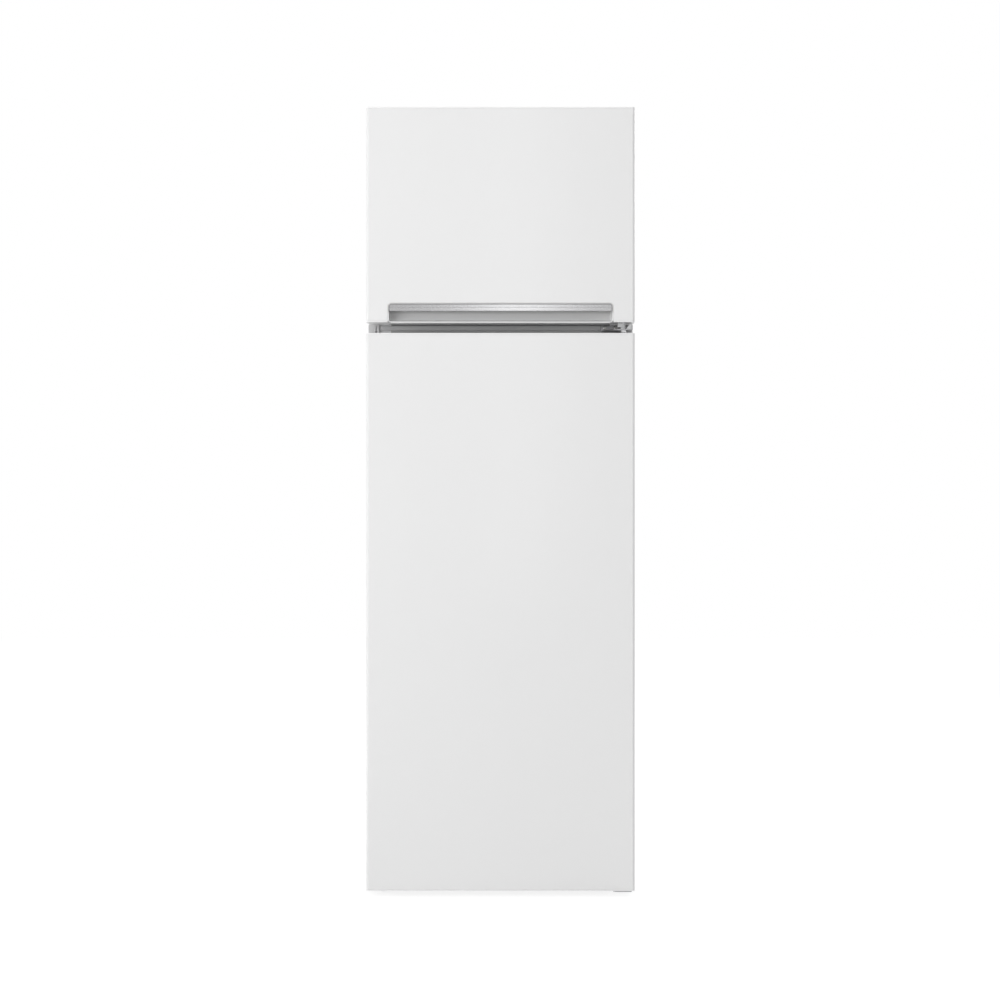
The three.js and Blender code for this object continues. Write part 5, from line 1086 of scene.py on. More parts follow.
bush_low, bush_high = low.z + BUSH_FOOT, low.z + BUSH_TOP
bush = rounded(rectangle(PIN_X - BUSH_REACH, PIN_Y - COLLAR_RADIUS, PIN_X + BUSH_SHORT,
                         PIN_Y + COLLAR_RADIUS), [2 * MM, 3 * MM, 3 * MM, 2 * MM])
neck_top = bush_low + 1 * MM
neck = [(PIN_RADIUS, plate_high), (NECK_RADIUS, plate_high), (NECK_RADIUS, neck_top),
        (PIN_RADIUS, neck_top)]
stop_right = high.x - 0.5 * MM
stop = rounded([(high.x - 13.5 * MM, plate_high), (stop_right, plate_high),
                (stop_right, bush_high), (high.x - 3.5 * MM, bush_high)],
               [0.6 * MM, 0.6 * MM, 0.8 * MM, 0.8 * MM])
new_piece("middle_hinge_bush",
          [soft_plate(bush, bush_low, bush_high, 0.8 * MM), turned(neck, PIN_PLACE),
           soft_plate(stop, low.y + STOP_FRONT, low.y + STOP_DEPTH, 0.6 * MM, 1)],
          bush_nylon, "cabinet", ["middle_hinge"])

bottom_low, bottom_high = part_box("bottom_hinge")
cover_low, cover_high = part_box("top_hinge_cover")
for name, places, axis in (
        ("middle_hinge_screws", [(low.x + x, high.y - PLATE_THICK, plate_high + MIDDLE_SCREW_RISE)
                                 for x in MIDDLE_SCREWS], FRONT),
        ("bottom_hinge_screws", [(bottom_low.x + x, bottom_high.y - PLATE_THICK,
                                  bottom_high.z - BOTTOM_SCREW_DROP) for x in BOTTOM_SCREWS],
         FRONT),
        ("hinge_cover_screw", [(cover_low.x + COVER_SCREW, (cover_low.y + cover_high.y) / 2,
                                cover_high.z - SCREW_HEAD)], (0, 0, 1))):
    new_piece(name, [screw_head(place, axis) for place in places], screw_zinc, "cabinet")

# ---------------------------------------------------------------------------
# Parting blocks. Soft grey plastic mouldings that close the rail's two ends; the
# left one has a slot and a countersunk screw, the right one sits behind the hinge.
BLOCK_SCREW = (17.5 * MM, 1.6 * MM, 4 * MM) # from the left block's lower front corner
BLOCK_SCREW_SCALE = 0.58
# The right block is the same plastic as the left, given a much darker grey as painted shade where it
# sits in shadow behind the hinge.
for side, name, color, roughness in (
        ("left", "parting_block_plastic", (0.60, 0.60, 0.605), 0.45),
        ("right", "hinge_block_painted_shade", (0.22, 0.22, 0.225), 0.5)):
    block_plastic = surface(name, color, roughness, tone=(0.02, 8.0), grain=(1300.0, 0.00004))
    dress([f"crossbar_cap_{side}"], block_plastic, 0.4 * MM)
screw = screw_head(np.array(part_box("crossbar_cap_left")[0]) + BLOCK_SCREW, FRONT,
                   BLOCK_SCREW_SCALE)
new_piece("parting_block_screw", [screw], hinge_steel_painted_shade, "cabinet")

# ---------------------------------------------------------------------------
# Base. Folded steel rails with a black powder coat, the two levelling feet of
# black plastic in front, and two nylon rollers in the rails behind.
powder_black = surface("powder_black", (0.035, 0.036, 0.038), 0.5, tone=(0.10, 30.0),
                       grain=(500.0, 0.00008))
dress(["base_frame"], powder_black, 0.4 * MM)
foot_plastic = surface("foot_plastic", (0.05, 0.05, 0.052), 0.55, tone=(0.08, 40.0),
                       grain=(900.0, 0.00006))
dress(["foot_left", "foot_right", "roller_left", "roller_right"], foot_plastic, 0.5 * MM)

# ---------------------------------------------------------------------------
# Compressor. A drawn steel pot in two halves welded round the belt, sprayed
# black over its stub pipes, on a pressed base plate with four rubber mounts.
POT_RADIUS = 70 * MM
POT_UPPER_RADIUS = 69.2 * MM
POT_LOW, POT_HIGH = 64.8 * MM, 214.8 * MM
POT_X, POT_Y = 60 * MM, 183.5 * MM
POT_MIDDLE = 2 * MM # radius where a half ends at its middle
LOWER_DEPTH, UPPER_DEPTH = 42 * MM, 46 * MM
BELT_SHARE = 0.54 # of the pot's height, where the halves meet
# The belt from below to above, as (radius past the pot's, height from the seam) in millimetres.
BELT = [(0, -5), (1, -3.6), (3, -3.4), (4, -2.4), (4, 2.4), (3, 3.4), (0.4, 3.6), (-0.8, 5)]
WELD_STEPS = 120
WELD_THICK = 1.3 * MM
WELD_HEIGHT = 4.6 * MM # above the seam
WELD_RIPPLE = 0.35 * MM
WELD_SINK = 0.2 * MM # its middle inside the pot's radius
BASE_LOW, BASE_HIGH = 62.8 * MM, 65.8 * MM # the base plate
BASE_CORNER = 12 * MM
STUB_RADIUS = 3.2 * MM
STUB_ENDS = (-36 * MM, -20 * MM, 10 * MM)
STUBS = {"suction": (143.5 * MM, 122.8 * MM), "process": (203.5 * MM, 122.8 * MM),
         "discharge": (165.5 * MM, 136.8 * MM)} # depth and height of each
DUST = (0.30, 0.29, 0.27)
DUST_PATCHES = 35.0 # to a metre

# Dust: how much lies at a point, more where the face looks up and where the patches are thick.
dust_group, given, leave = group_tree("dust", {"Facing": 0.0, "Patches": 0.5, "Amount": 0.5},
                                      "Dust", "Float")
upward = add_node(dust_group, "MapRange", {"Value": given["Facing"], "From Min": 0.1,
                                           "From Max": 0.9})
thick = add_node(dust_group, "MapRange", {"Value": given["Patches"], "From Min": 0.35,
                                          "From Max": 0.7, "To Min": 0.3})
both = add_node(dust_group, "Math", {0: upward.outputs["Result"], 1: thick.outputs["Result"]},
                operation="MULTIPLY")
dust = add_node(dust_group, "Math", {0: both.outputs[0], 1: given["Amount"]},
                operation="MULTIPLY")
dust_group.links.new(dust.outputs[0], leave)


def dusty(material, amount):
    """Dust settled on the faces that look up, in patches, up to an amount."""
    tree, color, source = color_socket(material)
    facing = add_node(tree, "NewGeometry").outputs["Normal"]
    split = add_node(tree, "SeparateXYZ", {0: facing})
    cover = add_node(tree, "Group", {"Facing": split.outputs["Z"], "Amount": amount,
                                     "Patches": object_noise(tree, DUST_PATCHES, 5.0)},
                     node_tree=dust_group)
    mix = add_node(tree, "Mix", {"Factor": cover.outputs["Dust"], "A": source,
                                 "B": (*DUST, 1)}, data_type="RGBA")
    tree.links.new(mix.outputs["Result"], color)


def bowl(radius, end, depth):
    """One half of the pot, as (radius, height) from its middle to its rim: a squarish quarter of an
    ellipse."""
    angle = np.linspace(0, math.pi / 2, 10)
    return [*zip(np.maximum(radius * np.sin(angle) ** 0.7, POT_MIDDLE),
                 end + depth * (1 - np.cos(angle)))]


def weld_bead(height):
    """A round bead laid round the pot, whose radius ripples as the welding arc stepped on."""
    angle = round_angles(WELD_STEPS)[:, None]
    cut = round_angles(8)
    radius = (POT_RADIUS - WELD_SINK + WELD_RIPPLE * np.cos(angle * WELD_STEPS / 4)
              + WELD_THICK * np.cos(cut))
    return points_of(POT_X + radius * np.cos(angle), POT_Y + radius * np.sin(angle),
                     height + WELD_THICK * np.sin(cut)), grid_faces(WELD_STEPS, 8, True, True)


def swept_tube(path, radius, sides=14, smooth_ends=True):
    """A circle carried along a path, turned as little as it can be from one step to the next."""
    path = np.asarray(path, float)
    along = np.gradient(path, axis=0)
    along /= np.linalg.norm(along, axis=1)[:, None]
    side = np.array([0.0, 1.0, 0.0]) if abs(along[0, 1]) < 0.9 else np.array([1.0, 0, 0])
    angle = round_angles(sides)[:, None]
    reach = np.full(len(path), radius)
    if smooth_ends:
        path, along = (np.vstack([rows[0], rows, rows[-1]]) for rows in (path, along))
        reach = np.concatenate([[0.6 * radius], reach, [0.6 * radius]])
    rings = []
    for place, way, r in zip(path, along, reach):
        side = side - way * (side @ way)
        side /= np.linalg.norm(side)
        rings.append(place + r * (np.cos(angle) * side + np.sin(angle) * np.cross(way, side)))
    return capped(np.array(rings))


seam = POT_LOW + BELT_SHARE * (POT_HIGH - POT_LOW)
belt = [(POT_RADIUS + out * MM, seam + up * MM) for out, up in BELT]
pot = turned(bowl(POT_RADIUS, POT_LOW, LOWER_DEPTH) + belt
             + bowl(POT_UPPER_RADIUS, POT_HIGH, -UPPER_DEPTH)[::-1], (POT_X, POT_Y, 0))
base_plate = rounded(rectangle(-40 * MM, 109.5 * MM, 160 * MM, 257.5 * MM), BASE_CORNER)
stubs = [swept_tube([(x, y, z) for x in STUB_ENDS], STUB_RADIUS, 16)
         for y, z in STUBS.values()]
pot_black = surface("compressor_enamel", (0.022, 0.023, 0.025), 0.30, tone=(0.15, 14.0),
                    gloss=(0.25, 30.0), grain=(260.0, 0.00012))
dusty(pot_black, 0.4)
new_piece("compressor_pot",
          [pot, weld_bead(seam + WELD_HEIGHT),
           soft_plate(base_plate, BASE_LOW, BASE_HIGH, 0.8 * MM), *stubs],
          pot_black, "cabinet", ["compressor"])

mount_rubber = surface("mount_rubber", (0.03, 0.03, 0.03), 0.8, tone=(0.2, 60.0),
                       grain=(700.0, 0.0001))
dress([f"compressor_mount_{index}" for index in (1, 2, 3, 4)], mount_rubber, 0.6 * MM)
relay_plastic = surface("relay_plastic", (0.05, 0.05, 0.052), 0.5, tone=(0.06, 40.0),
                        grain=(600.0, 0.00008))
dusty(relay_plastic, 0.35)
dress(["relay_cover", "evaporation_tray"], relay_plastic, 0.8 * MM, 3)

# ---------------------------------------------------------------------------
# Condenser. Steel tube in a serpentine with wires spot-welded across both
# faces, all dipped in black enamel and held off the back by plastic straps.
COIL_Y = 285 * MM
COIL_TUBE = 2.6 * MM
COIL_HALF = 199 * MM
COIL_FOOT = 340 * MM
COIL_PITCH = 92 * MM
COIL_RUNS = 15
COIL_TOP = COIL_FOOT + COIL_PITCH * (COIL_RUNS - 1)
LEAD_X = -217 * MM
LEAD_FOOT = 220 * MM
LEAD_BEND = 18 * MM
WIRE_RADIUS = 0.75 * MM
WIRE_PITCH = 9.5 * MM
WIRE_PAST = 10 * MM # beyond the first and the last run
WIRE_FIRST, WIRE_LAST = -COIL_HALF + 4 * MM, COIL_HALF - 3 * MM
WIRE_DEPTHS = (COIL_Y - COIL_TUBE - 0.75 * MM, COIL_Y + COIL_TUBE - 0.05 * MM) # both faces


def serpentine():
    """Level runs one above another joined by half circles, led up to from the niche below."""
    lead = rounded_path([(LEAD_X, COIL_Y, LEAD_FOOT), (LEAD_X, COIL_Y, COIL_FOOT),
                         (-COIL_HALF + 40 * MM, COIL_Y, COIL_FOOT)], LEAD_BEND)[:-1]
    places = [lead]
    half_turn = np.linspace(-math.pi / 2, math.pi / 2, 25)
    for run in range(COIL_RUNS - 1):
        x = (-1) ** run * (COIL_HALF + COIL_PITCH / 2 * np.cos(half_turn))
        z = COIL_FOOT + COIL_PITCH * (run + 0.5) + COIL_PITCH / 2 * np.sin(half_turn)
        places.append(points_of(x, COIL_Y, z))
    return np.concatenate([*places, [(COIL_HALF, COIL_Y, COIL_TOP)]])


coil_black = surface("condenser_enamel", (0.028, 0.028, 0.03), 0.42, tone=(0.12, 30.0),
                     gloss=(0.15, 60.0), grain=(500.0, 0.00008))
dusty(coil_black, 0.5)
new_piece("condenser_tube", [swept_tube(serpentine(), COIL_TUBE)], coil_black, "cabinet",
          ["condenser_coil"])
wires = [swept_tube([(x, y, COIL_FOOT - WIRE_PAST), (x, y, COIL_TOP + WIRE_PAST)], WIRE_RADIUS, 6,
                    smooth_ends=False)
         for x in np.arange(WIRE_FIRST, WIRE_LAST, WIRE_PITCH) for y in WIRE_DEPTHS]
new_piece("condenser_wires", wires, coil_black, "cabinet")
strap_plastic = surface("strap_plastic", (0.04, 0.04, 0.042), 0.55, tone=(0.08, 40.0),
                        grain=(700.0, 0.00008))
dress(["condenser_bracket_left", "condenser_bracket_right"], strap_plastic, 0.4 * MM)

# ---------------------------------------------------------------------------
# Refrigerant pipes. Copper, brazed to the compressor's stubs: the discharge pipe
# runs out to the condenser's lead, and the suction pipe goes up through the
# niche's ceiling. A short wider sleeve covers each joint.
PIPE_RADIUS = 2.6 * MM
SLEEVE_RADIUS = 3.7 * MM
PIPE_BEND = 22 * MM
PIPE_START = -34 * MM
SUCTION_RISE_X = -185 * MM
NICHE_CEILING = 279.4 * MM
copper = surface("copper_pipe", (0.50, 0.26, 0.16), 0.38, 0.9, tone=(0.25, 45.0),
                 gloss=(0.25, 70.0), grain=(700.0, 0.00004))
dusty(copper, 0.35)
out, back = STUBS["discharge"], STUBS["suction"]
pipes = [[(PIPE_START, *out), (-130 * MM, *out), (LEAD_X, COIL_Y, 160 * MM),
          (LEAD_X, COIL_Y, LEAD_FOOT + 4 * MM)],
         [(PIPE_START, *back), (SUCTION_RISE_X, *back), (SUCTION_RISE_X, back[0], NICHE_CEILING)]]
sleeves = [[(x, *stub) for x in (-43 * MM, -26 * MM)] for stub in (out, back)]
sleeves.append([(LEAD_X, COIL_Y, LEAD_FOOT + z) for z in (-8 * MM, 8 * MM)])
new_piece("refrigerant_pipes",
          [swept_tube(rounded_path(pipe, PIPE_BEND), PIPE_RADIUS) for pipe in pipes]
          + [swept_tube(sleeve, SLEEVE_RADIUS) for sleeve in sleeves],
          copper, "cabinet")

# ---------------------------------------------------------------------------
# Evaporators. Bare aluminium: a tube under the freezer's floor, and a roll-bond
# plate standing off the fridge compartment's rear wall.
bare_aluminium = surface("bare_aluminium", (0.72, 0.73, 0.74), 0.38, 0.9, tone=(0.04, 8.0),
                         gloss=(0.12, 40.0), grain=(400.0, 0.00004))
dress(["freezer_evaporator"], bare_aluminium)
dress(["cold_plate"], bare_aluminium, 0.6 * MM)

# ---------------------------------------------------------------------------
# Shelves. Toughened float glass with ground edges, faintly green through its
# thickness, with an extruded white trim pushed on in front and a low upstand
# behind that keeps food off the cold rear wall.
TRIM_DEPTH = 11 * MM
TRIM_PROUD = 3 * MM # in front of the glass
TRIM_OVER = 2.4 * MM
TRIM_UNDER = 4.5 * MM
TRIM_ROUND = 1.8 * MM
TRIM_EDGE = TRIM_ROUND / 3
UPSTAND = 12 * MM
UPSTAND_DEPTH = 6 * MM


def clear_material(name, color, roughness, ior, tint):
    """A see-through material: refraction for the camera, plain tinted passage for light."""
    material = surface(name, color, roughness, Transmission_Weight=1.0, IOR=ior, tone=(0.01, 5.0),
                       gloss=(0.01, 30.0), grain=(200.0, 0.000004))
    tree = material.node_tree
    rays = add_node(tree, "LightPath").outputs
    either = add_node(tree, "Math", {0: rays["Is Shadow Ray"], 1: rays["Is Diffuse Ray"]},
                      operation="MAXIMUM")
    clear = add_node(tree, "BsdfTransparent", {"Color": (*tint, 1)})
    mix = add_node(tree, "MixShader", {"Fac": either.outputs[0], 2: clear.outputs[0],
                                       1: tree.nodes["Principled BSDF"].outputs[0]})
    tree.links.new(mix.outputs[0], tree.nodes["Material Output"].inputs["Surface"])
    return material


shelf_glass = clear_material("shelf_glass", (0.93, 0.97, 0.95), 0.02, 1.5, (0.93, 0.96, 0.95))
trim_plastic = surface("trim_plastic", (0.82, 0.82, 0.82), 0.35, tone=(0.01, 6.0),
                       grain=(900.0, 0.00003))
SHELVES = ["shelf_1", "shelf_2", "shelf_3", "crisper_cover", "freezer_shelf"]
dress(SHELVES, shelf_glass, smooth=False)
for name in SHELVES:
    low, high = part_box(name)
    front = [(low.y - TRIM_PROUD, low.z - TRIM_UNDER), (low.y + TRIM_DEPTH, low.z - TRIM_UNDER / 3),
             (low.y + TRIM_DEPTH, high.z + TRIM_OVER / 2), (low.y - TRIM_PROUD, high.z + TRIM_OVER)]
    front = rounded(front, [TRIM_ROUND, TRIM_EDGE, TRIM_EDGE, TRIM_ROUND])
    trims = [extruded(front, 0, low.x, high.x)]
    if name != "crisper_cover":
        rear = [(high.y - UPSTAND_DEPTH, low.z - TRIM_OVER), (high.y, low.z - TRIM_OVER),
                (high.y, high.z + UPSTAND), (high.y - UPSTAND_DEPTH / 3, high.z + UPSTAND),
                (high.y - UPSTAND_DEPTH / 2, high.z + TRIM_OVER),
                (high.y - UPSTAND_DEPTH, high.z + TRIM_OVER)]
        trims.append(extruded(rounded(rear, TRIM_EDGE, 3), 0, low.x, high.x))
    new_piece(f"{name}_trims", trims, trim_plastic, "cabinet")

# ---------------------------------------------------------------------------
# Door bins and crisper drawers. Injection-moulded clear polystyrene with a
# beaded rim; a bin's front is lower than its sides, and a drawer's front dips in
# the middle for a hand.
BIN_WALL = 2.2 * MM
BIN_FLOOR = 2.5 * MM
BIN_FOOT = 4 * MM # radius between a wall and the floor
BIN_CORNER = 14 * MM
BIN_REAR_CORNER = 3.2 * MM
BIN_DROP = 0.3 # of its height, at the low front
BIN_EASE = 16 * MM # how far back a side's height falls towards the front
BEAD_HEIGHT = 4 * MM
BEAD_PROUD = 0.9 * MM
RIM_ROUND = 1 * MM # rounding of the rim's top
DRAWER_DIP = 17 * MM
DRAWER_DIP_HALF = 70 * MM
DRAWER_DIP_EASE = 26 * MM


def tray_outline(low, high, front_sign):
    """Points and outward normals round a tray in plan: large corners at its front, small ones at
    its rear, and a point every few millimetres along the straight sides."""
    rear, front = (low.y, high.y)[::front_sign]
    turn = np.linspace(0, math.pi / 2, 9)[:, None]
    points, normals = [], []
    for x, y, radius in ((low.x, rear, BIN_REAR_CORNER), (low.x, front, BIN_CORNER),
                         (high.x, front, BIN_CORNER), (high.x, rear, BIN_REAR_CORNER)):
        ways = np.array([(0, 1 if y == high.y else -1), (1 if x == high.x else -1, 0)])
        first, last = ways if (x == low.x) == (y == rear) else ways[::-1]
        normal = np.cos(turn) * first + np.sin(turn) * last
        points.append((x, y) + radius * (normal - ways.sum(0)))
        normals.append(normal)
    share = np.linspace(0, 1, 26)[1:-1, None]
    outline, outward = [], []
    for here, after, normal in zip(points, points[1:] + points[:1], normals):
        outline += [here, here[-1] * (1 - share) + after[0] * share]
        outward += [normal, np.repeat(normal[-1:], len(share), 0)]
    return np.concatenate(outline), np.concatenate(outward)


def soft_step(value):
    """Zero below 0, one above 1, and a smooth S between."""
    t = np.clip(value, 0, 1)
    return t * t * (3 - 2 * t)


def moulded_tray(low, high, front_sign, drop, dip):
    """Rings from the middle of the underside up the outer wall, over the beaded rim and down to
    the middle of the floor. A ring is the outline moved in by its inset; its height is a fixed
    rise plus a share of the local wall height, which falls at the front by a drop and by a dip in
    its middle."""
    outline, normals = tray_outline(low, high, front_sign)
    from_front = np.abs(outline[:, 1] - (high.y if front_sign > 0 else low.y))
    from_middle = np.abs(outline[:, 0] - (low.x + high.x) / 2)
    height = high.z - low.z - drop * soft_step((BIN_CORNER + BIN_EASE - from_front) / BIN_EASE)
    height -= dip * soft_step((BIN_CORNER - from_front) / BIN_CORNER) \
        * soft_step((DRAWER_DIP_HALF - from_middle) / DRAWER_DIP_EASE)
    turn = np.linspace(0, math.pi / 2, 6)
    fillet = [*zip(BIN_FOOT * (1 - np.sin(turn)), BIN_FOOT * (1 - np.cos(turn)))]
    side, inner = BEAD_PROUD, BEAD_PROUD + BIN_WALL
    outside = [(side + 2 * BIN_FOOT, 0)] + [(side + inset, rise) for inset, rise in fillet]
    cut = 0.3 * RIM_ROUND
    rim = [(side, -BEAD_HEIGHT - BEAD_PROUD), (0, -BEAD_HEIGHT), (0, -RIM_ROUND), (cut, -cut),
           (RIM_ROUND, 0), (inner - RIM_ROUND, 0), (inner - cut, -cut), (inner, -RIM_ROUND)]
    inside = [(inner + inset, BIN_FLOOR + rise) for inset, rise in fillet[::-1]]
    inside.append((inner + 2 * BIN_FOOT, BIN_FLOOR))
    return capped(np.array([
        np.column_stack([outline - normals * inset, low.z + rise + share * height])
        for rows, share in ((outside, 0), (rim, 1), (inside, 0)) for inset, rise in rows]))


bin_clear = clear_material("clear_polystyrene", (0.985, 0.99, 0.995), 0.04, 1.2,
                           (0.955, 0.965, 0.97))
for door, bins in DOOR_BINS.items():
    for name in bins:
        low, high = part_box(name)
        new_piece(f"{name}_tray", [moulded_tray(low, high, 1, BIN_DROP * (high.z - low.z), 0)],
                  bin_clear, door, [name])
for side in ("left", "right"):
    new_piece(f"crisper_{side}_tray",
              [moulded_tray(*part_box(f"crisper_{side}"), -1, 0, DRAWER_DIP)], bin_clear,
              f"drawer_{side}", [f"crisper_{side}"])

# ---------------------------------------------------------------------------
# Controls. A white moulded box under the ceiling. On its front are the fluted
# thermostat knob with a pointer and the plunger of the lamp switch in its collar.
dress(["control_housing"], cap_plastic, 1.2 * MM, 3)
KNOB_DEPTH = 14 * MM
KNOB_RADIUS = 17 * MM
KNOB_GRIP = 14 * MM
KNOB_FLANGE = 5 * MM
KNOB_FACE = 12 * MM
KNOB_EDGE = 0.8 * MM # bevel of the flange
GRIP_EDGE = 0.9 * MM # rounding of the grip's face
KNOB_FLUTES = 20
FLUTE_DEPTH = 0.045 # of the grip's radius
SHAFT_RADIUS = 3 * MM
SHAFT_LENGTH = 22 * MM
RIDGE_HALF = 3 * MM
RIDGE_REACH = KNOB_GRIP - 1 * MM
POINTER_HALF = 0.7 * MM
POINTER_PROUD = 0.15 * MM
POINTER_FOOT, POINTER_TIP = 3 * MM, 12 * MM # from the knob's middle
PLUNGER_TIP = 2.5 * MM
COLLAR_FRONT = 1.8 * MM
COLLAR_PLAY = 0.35 * MM


def fluted(rings, centre, axis, flutes, steps):
    """Rings of (radius, height, share of the flute depth) round an axis; the radius dips as a
    raised cosine of the angle, once for each flute."""
    radius, height, share = np.array(rings, float).T[..., None]
    angle = round_angles(steps)
    dip = FLUTE_DEPTH * (0.5 + 0.5 * np.cos(flutes * angle))
    return revolved(radius * (1 - share * dip), height, angle, centre, axis)


low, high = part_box("thermostat_knob")
knob_x, knob_z, knob_front = (low.x + high.x) / 2, (low.z + high.z) / 2, low.y
knob_back = knob_front + KNOB_DEPTH
knob_place = (knob_x, knob_back, knob_z)
knob = [(KNOB_RADIUS - KNOB_EDGE, 0, 0), (KNOB_RADIUS, KNOB_EDGE, 0),
        (KNOB_RADIUS, KNOB_FLANGE - KNOB_EDGE, 0), (KNOB_RADIUS - KNOB_EDGE, KNOB_FLANGE, 0),
        (KNOB_GRIP + 0.4 * MM, KNOB_FLANGE, 1), (KNOB_GRIP, KNOB_FLANGE + 0.4 * MM, 1),
        (KNOB_GRIP, KNOB_FACE - GRIP_EDGE, 1),
        (KNOB_GRIP - GRIP_EDGE / 3, KNOB_FACE - GRIP_EDGE / 3, 1),
        (KNOB_GRIP - GRIP_EDGE, KNOB_FACE, 1), (KNOB_GRIP - 3 * MM, KNOB_FACE, 0)]
ridge = rounded(rectangle(knob_x - RIDGE_HALF, knob_z - RIDGE_REACH, knob_x + RIDGE_HALF,
                          knob_z + RIDGE_REACH), 2.4 * MM)
shaft = [(SHAFT_RADIUS, -SHAFT_LENGTH), (SHAFT_RADIUS, 0.5 * MM)]
knob_plastic = surface("knob_plastic", (0.52, 0.525, 0.53), 0.38, tone=(0.02, 20.0),
                       grain=(1200.0, 0.00004))
new_piece("thermostat_knob_grip",
          [fluted(knob, knob_place, FRONT, KNOB_FLUTES, 160),
           soft_plate(ridge, knob_front + POINTER_PROUD, knob_back - KNOB_FACE + 0.4 * MM,
                      0.7 * MM, 1),
           turned(shaft, knob_place, FRONT)],
          knob_plastic, "knob", ["thermostat_knob"])
pointer = rounded(rectangle(knob_x - POINTER_HALF, knob_z + POINTER_FOOT, knob_x + POINTER_HALF,
                            knob_z + POINTER_TIP), 0.5 * MM)
pointer_black = surface("pointer_ink", (0.05, 0.05, 0.055), 0.5, tone=(0.05, 60.0),
                        grain=(900.0, 0.00002))
new_piece("thermostat_knob_pointer",
          [soft_plate(pointer, knob_front, knob_front + 0.5 * MM, 0.1 * MM, 1)], pointer_black,
          "knob")

low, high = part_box("lamp_switch")
switch_radius = (high.x - low.x) / 2
switch_x, switch_z = (low.x + high.x) / 2, (low.z + high.z) / 2
tip = np.linspace(0, math.pi / 2, 7)
plunger = [(switch_radius - 0.5 * MM, 0), (switch_radius, 0.5 * MM),
           *zip(np.maximum(switch_radius * np.cos(tip), 0.2 * MM),
                high.y - low.y - PLUNGER_TIP * (1 - np.sin(tip)))]
new_piece("lamp_switch_plunger", [turned(plunger, (switch_x, high.y, switch_z), FRONT)],
          trim_plastic, "switch", ["lamp_switch"])
bore = switch_radius + COLLAR_PLAY
radius, proud = np.array([
    (bore, 0), (bore, COLLAR_FRONT - 0.4 * MM), (bore + 0.4 * MM, COLLAR_FRONT),
    (bore + 2.6 * MM, COLLAR_FRONT), (bore + 3.4 * MM, COLLAR_FRONT - 0.6 * MM),
    (bore + 3.6 * MM, 0)]).T
angle = round_angles(40)[:, None]
collar = points_of(switch_x + np.cos(angle) * radius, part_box("control_housing")[0].y - proud,
                   switch_z + np.sin(angle) * radius)
new_piece("lamp_switch_collar", [(collar, grid_faces(*collar.shape[:2], True, True))],
          knob_plastic, "cabinet")

# ---------------------------------------------------------------------------
# Lamp. A small frosted glass bulb on a threaded nickel-plated cap, lying in the
# housing's cut-out.
CAP_LENGTH = 22 * MM
CAP_RADIUS = 6.5 * MM
CAP_THREAD = 0.5 * MM
CAP_TURNS = 5
BULB_RADIUS = 12 * MM
BULB_WIDEST = 42 * MM
low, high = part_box("lamp_bulb")
bulb_centre = (low.x, (low.y + high.y) / 2, (low.z + high.z) / 2)
share = np.linspace(0, 1, 41)
thread = [*zip(CAP_RADIUS + CAP_THREAD * np.cos(2 * math.pi * CAP_TURNS * share),
               3.5 * MM + 15 * MM * share)]
cap = [(2 * MM, 0), (3 * MM, 0.3 * MM), (5.4 * MM, 2.5 * MM), *thread, (7 * MM, 20 * MM),
       (7 * MM, CAP_LENGTH), (6.6 * MM, CAP_LENGTH + 0.4 * MM)]
new_piece("lamp_bulb_cap", [turned(cap, bulb_centre, (1, 0, 0))], bright_steel, "cabinet",
          ["lamp_bulb"])
shoulder = np.linspace(-0.75, math.pi / 2, 22)
glass = [(6.4 * MM, CAP_LENGTH + 0.2 * MM), (7.4 * MM, 26 * MM),
         *zip(np.maximum(BULB_RADIUS * np.cos(shoulder), 0.3 * MM),
              BULB_WIDEST + (high.x - low.x - BULB_WIDEST) * np.sin(shoulder))]
bulb_glass = surface("frosted_bulb", (0.92, 0.91, 0.88), 0.35, Transmission_Weight=0.5, IOR=1.45,
                     tone=(0.01, 30.0), grain=(800.0, 0.00003))
new_piece("lamp_bulb_glass", [turned(glass, bulb_centre, (1, 0, 0))], bulb_glass, "cabinet",
          ["lamp_bulb"])

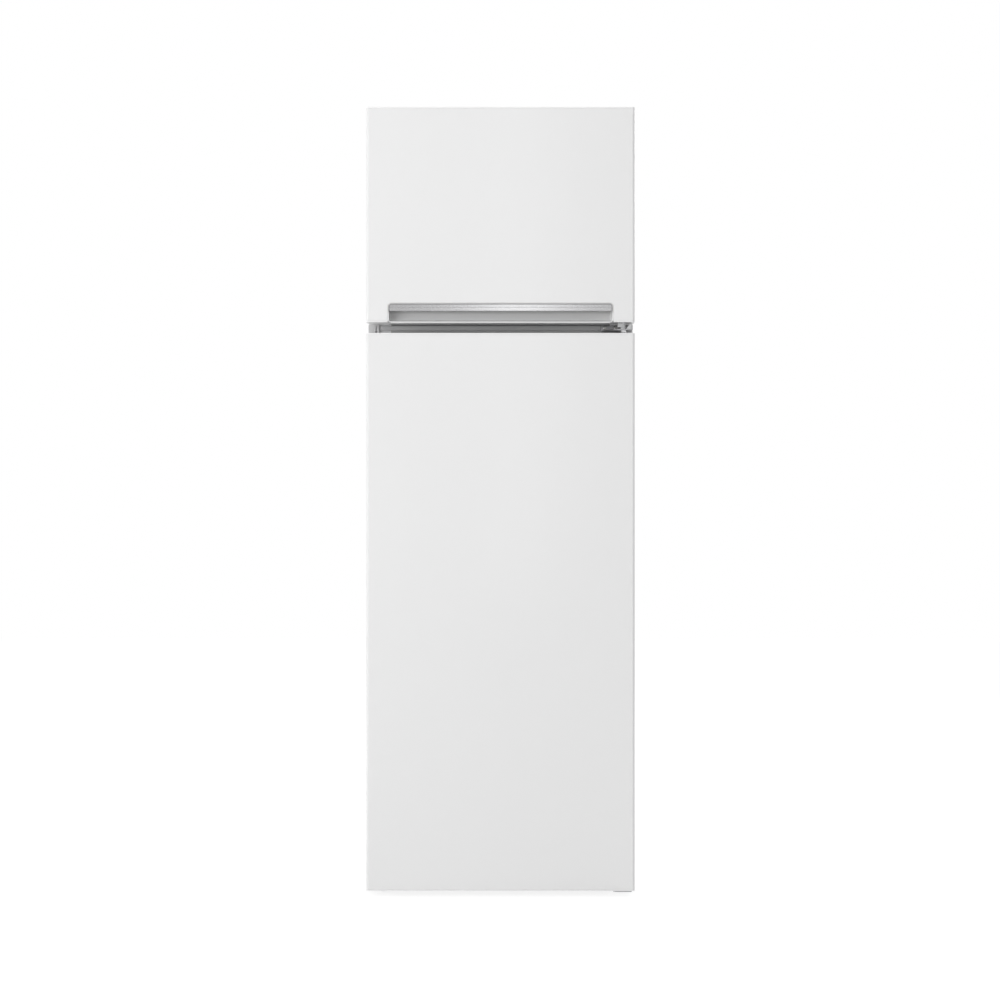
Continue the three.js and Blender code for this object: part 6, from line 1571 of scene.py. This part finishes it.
# ---------------------------------------------------------------------------
# Standing. Two black plastic levelling feet, each with a knurled disc, a hexagon
# and a threaded zinc-plated stem that screws into the base.
FOOT_DISC = 7 * MM
FOOT_KNURLS = 36
HEX_TOP = 22 * MM
HEX_RADIUS = 9 * MM
HEX_CORNER = 0.6 * MM
STEM_RADIUS = 5 * MM
STEM_STEPS = 24
THREAD_PITCH = 1.5 * MM
THREAD_DEPTH = 0.5 * MM
# The disc from the floor up, as (radius past the disc's, height, in millimetres, share of knurl).
DISC_RINGS = [(-2.5, 0, 0), (-0.6, 0.5, 0), (0, 1.2, 1), (0, 4.6, 1), (-0.8, 5.4, 0), (-3.4, 7, 0)]


def threaded(low, high, centre):
    """A stem whose radius is a triangle wave of the height less a pitch for each turn."""
    height = np.arange(low, high, THREAD_PITCH / 6)[:, None]
    angle = round_angles(STEM_STEPS)
    phase = (height / THREAD_PITCH - angle / (2 * math.pi)) % 1
    radius = STEM_RADIUS - THREAD_DEPTH * np.abs(2 * phase - 1)
    return capped(points_of(centre[0] + radius * np.cos(angle), centre[1] + radius * np.sin(angle),
                            height))


for side in ("left", "right"):
    low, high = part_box(f"foot_{side}")
    centre = ((low.x + high.x) / 2, (low.y + high.y) / 2, 0)
    disc_radius = (high.x - low.x) / 2
    disc = [(disc_radius + past * MM, up * MM, share) for past, up, share in DISC_RINGS]
    disc.append((HEX_RADIUS, FOOT_DISC, 0))
    corners = round_angles(6)
    hexagon = rounded(np.column_stack([centre[0] + HEX_RADIUS * np.cos(corners),
                                       centre[1] + HEX_RADIUS * np.sin(corners)]), HEX_CORNER, 3)
    new_piece(f"foot_{side}_disc",
              [fluted(disc, centre, (0, 0, 1), FOOT_KNURLS, 216),
               soft_plate(hexagon, FOOT_DISC - 0.5 * MM, HEX_TOP, 0.5 * MM)],
              foot_plastic, f"{side}_foot", [f"foot_{side}"])
    new_piece(f"foot_{side}_stem", [threaded(HEX_TOP - 1 * MM, high.z, centre)], screw_zinc,
              f"{side}_foot", [f"foot_{side}"])

# ---------------------------------------------------------------------------
# Size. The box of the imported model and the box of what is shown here.
low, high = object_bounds()
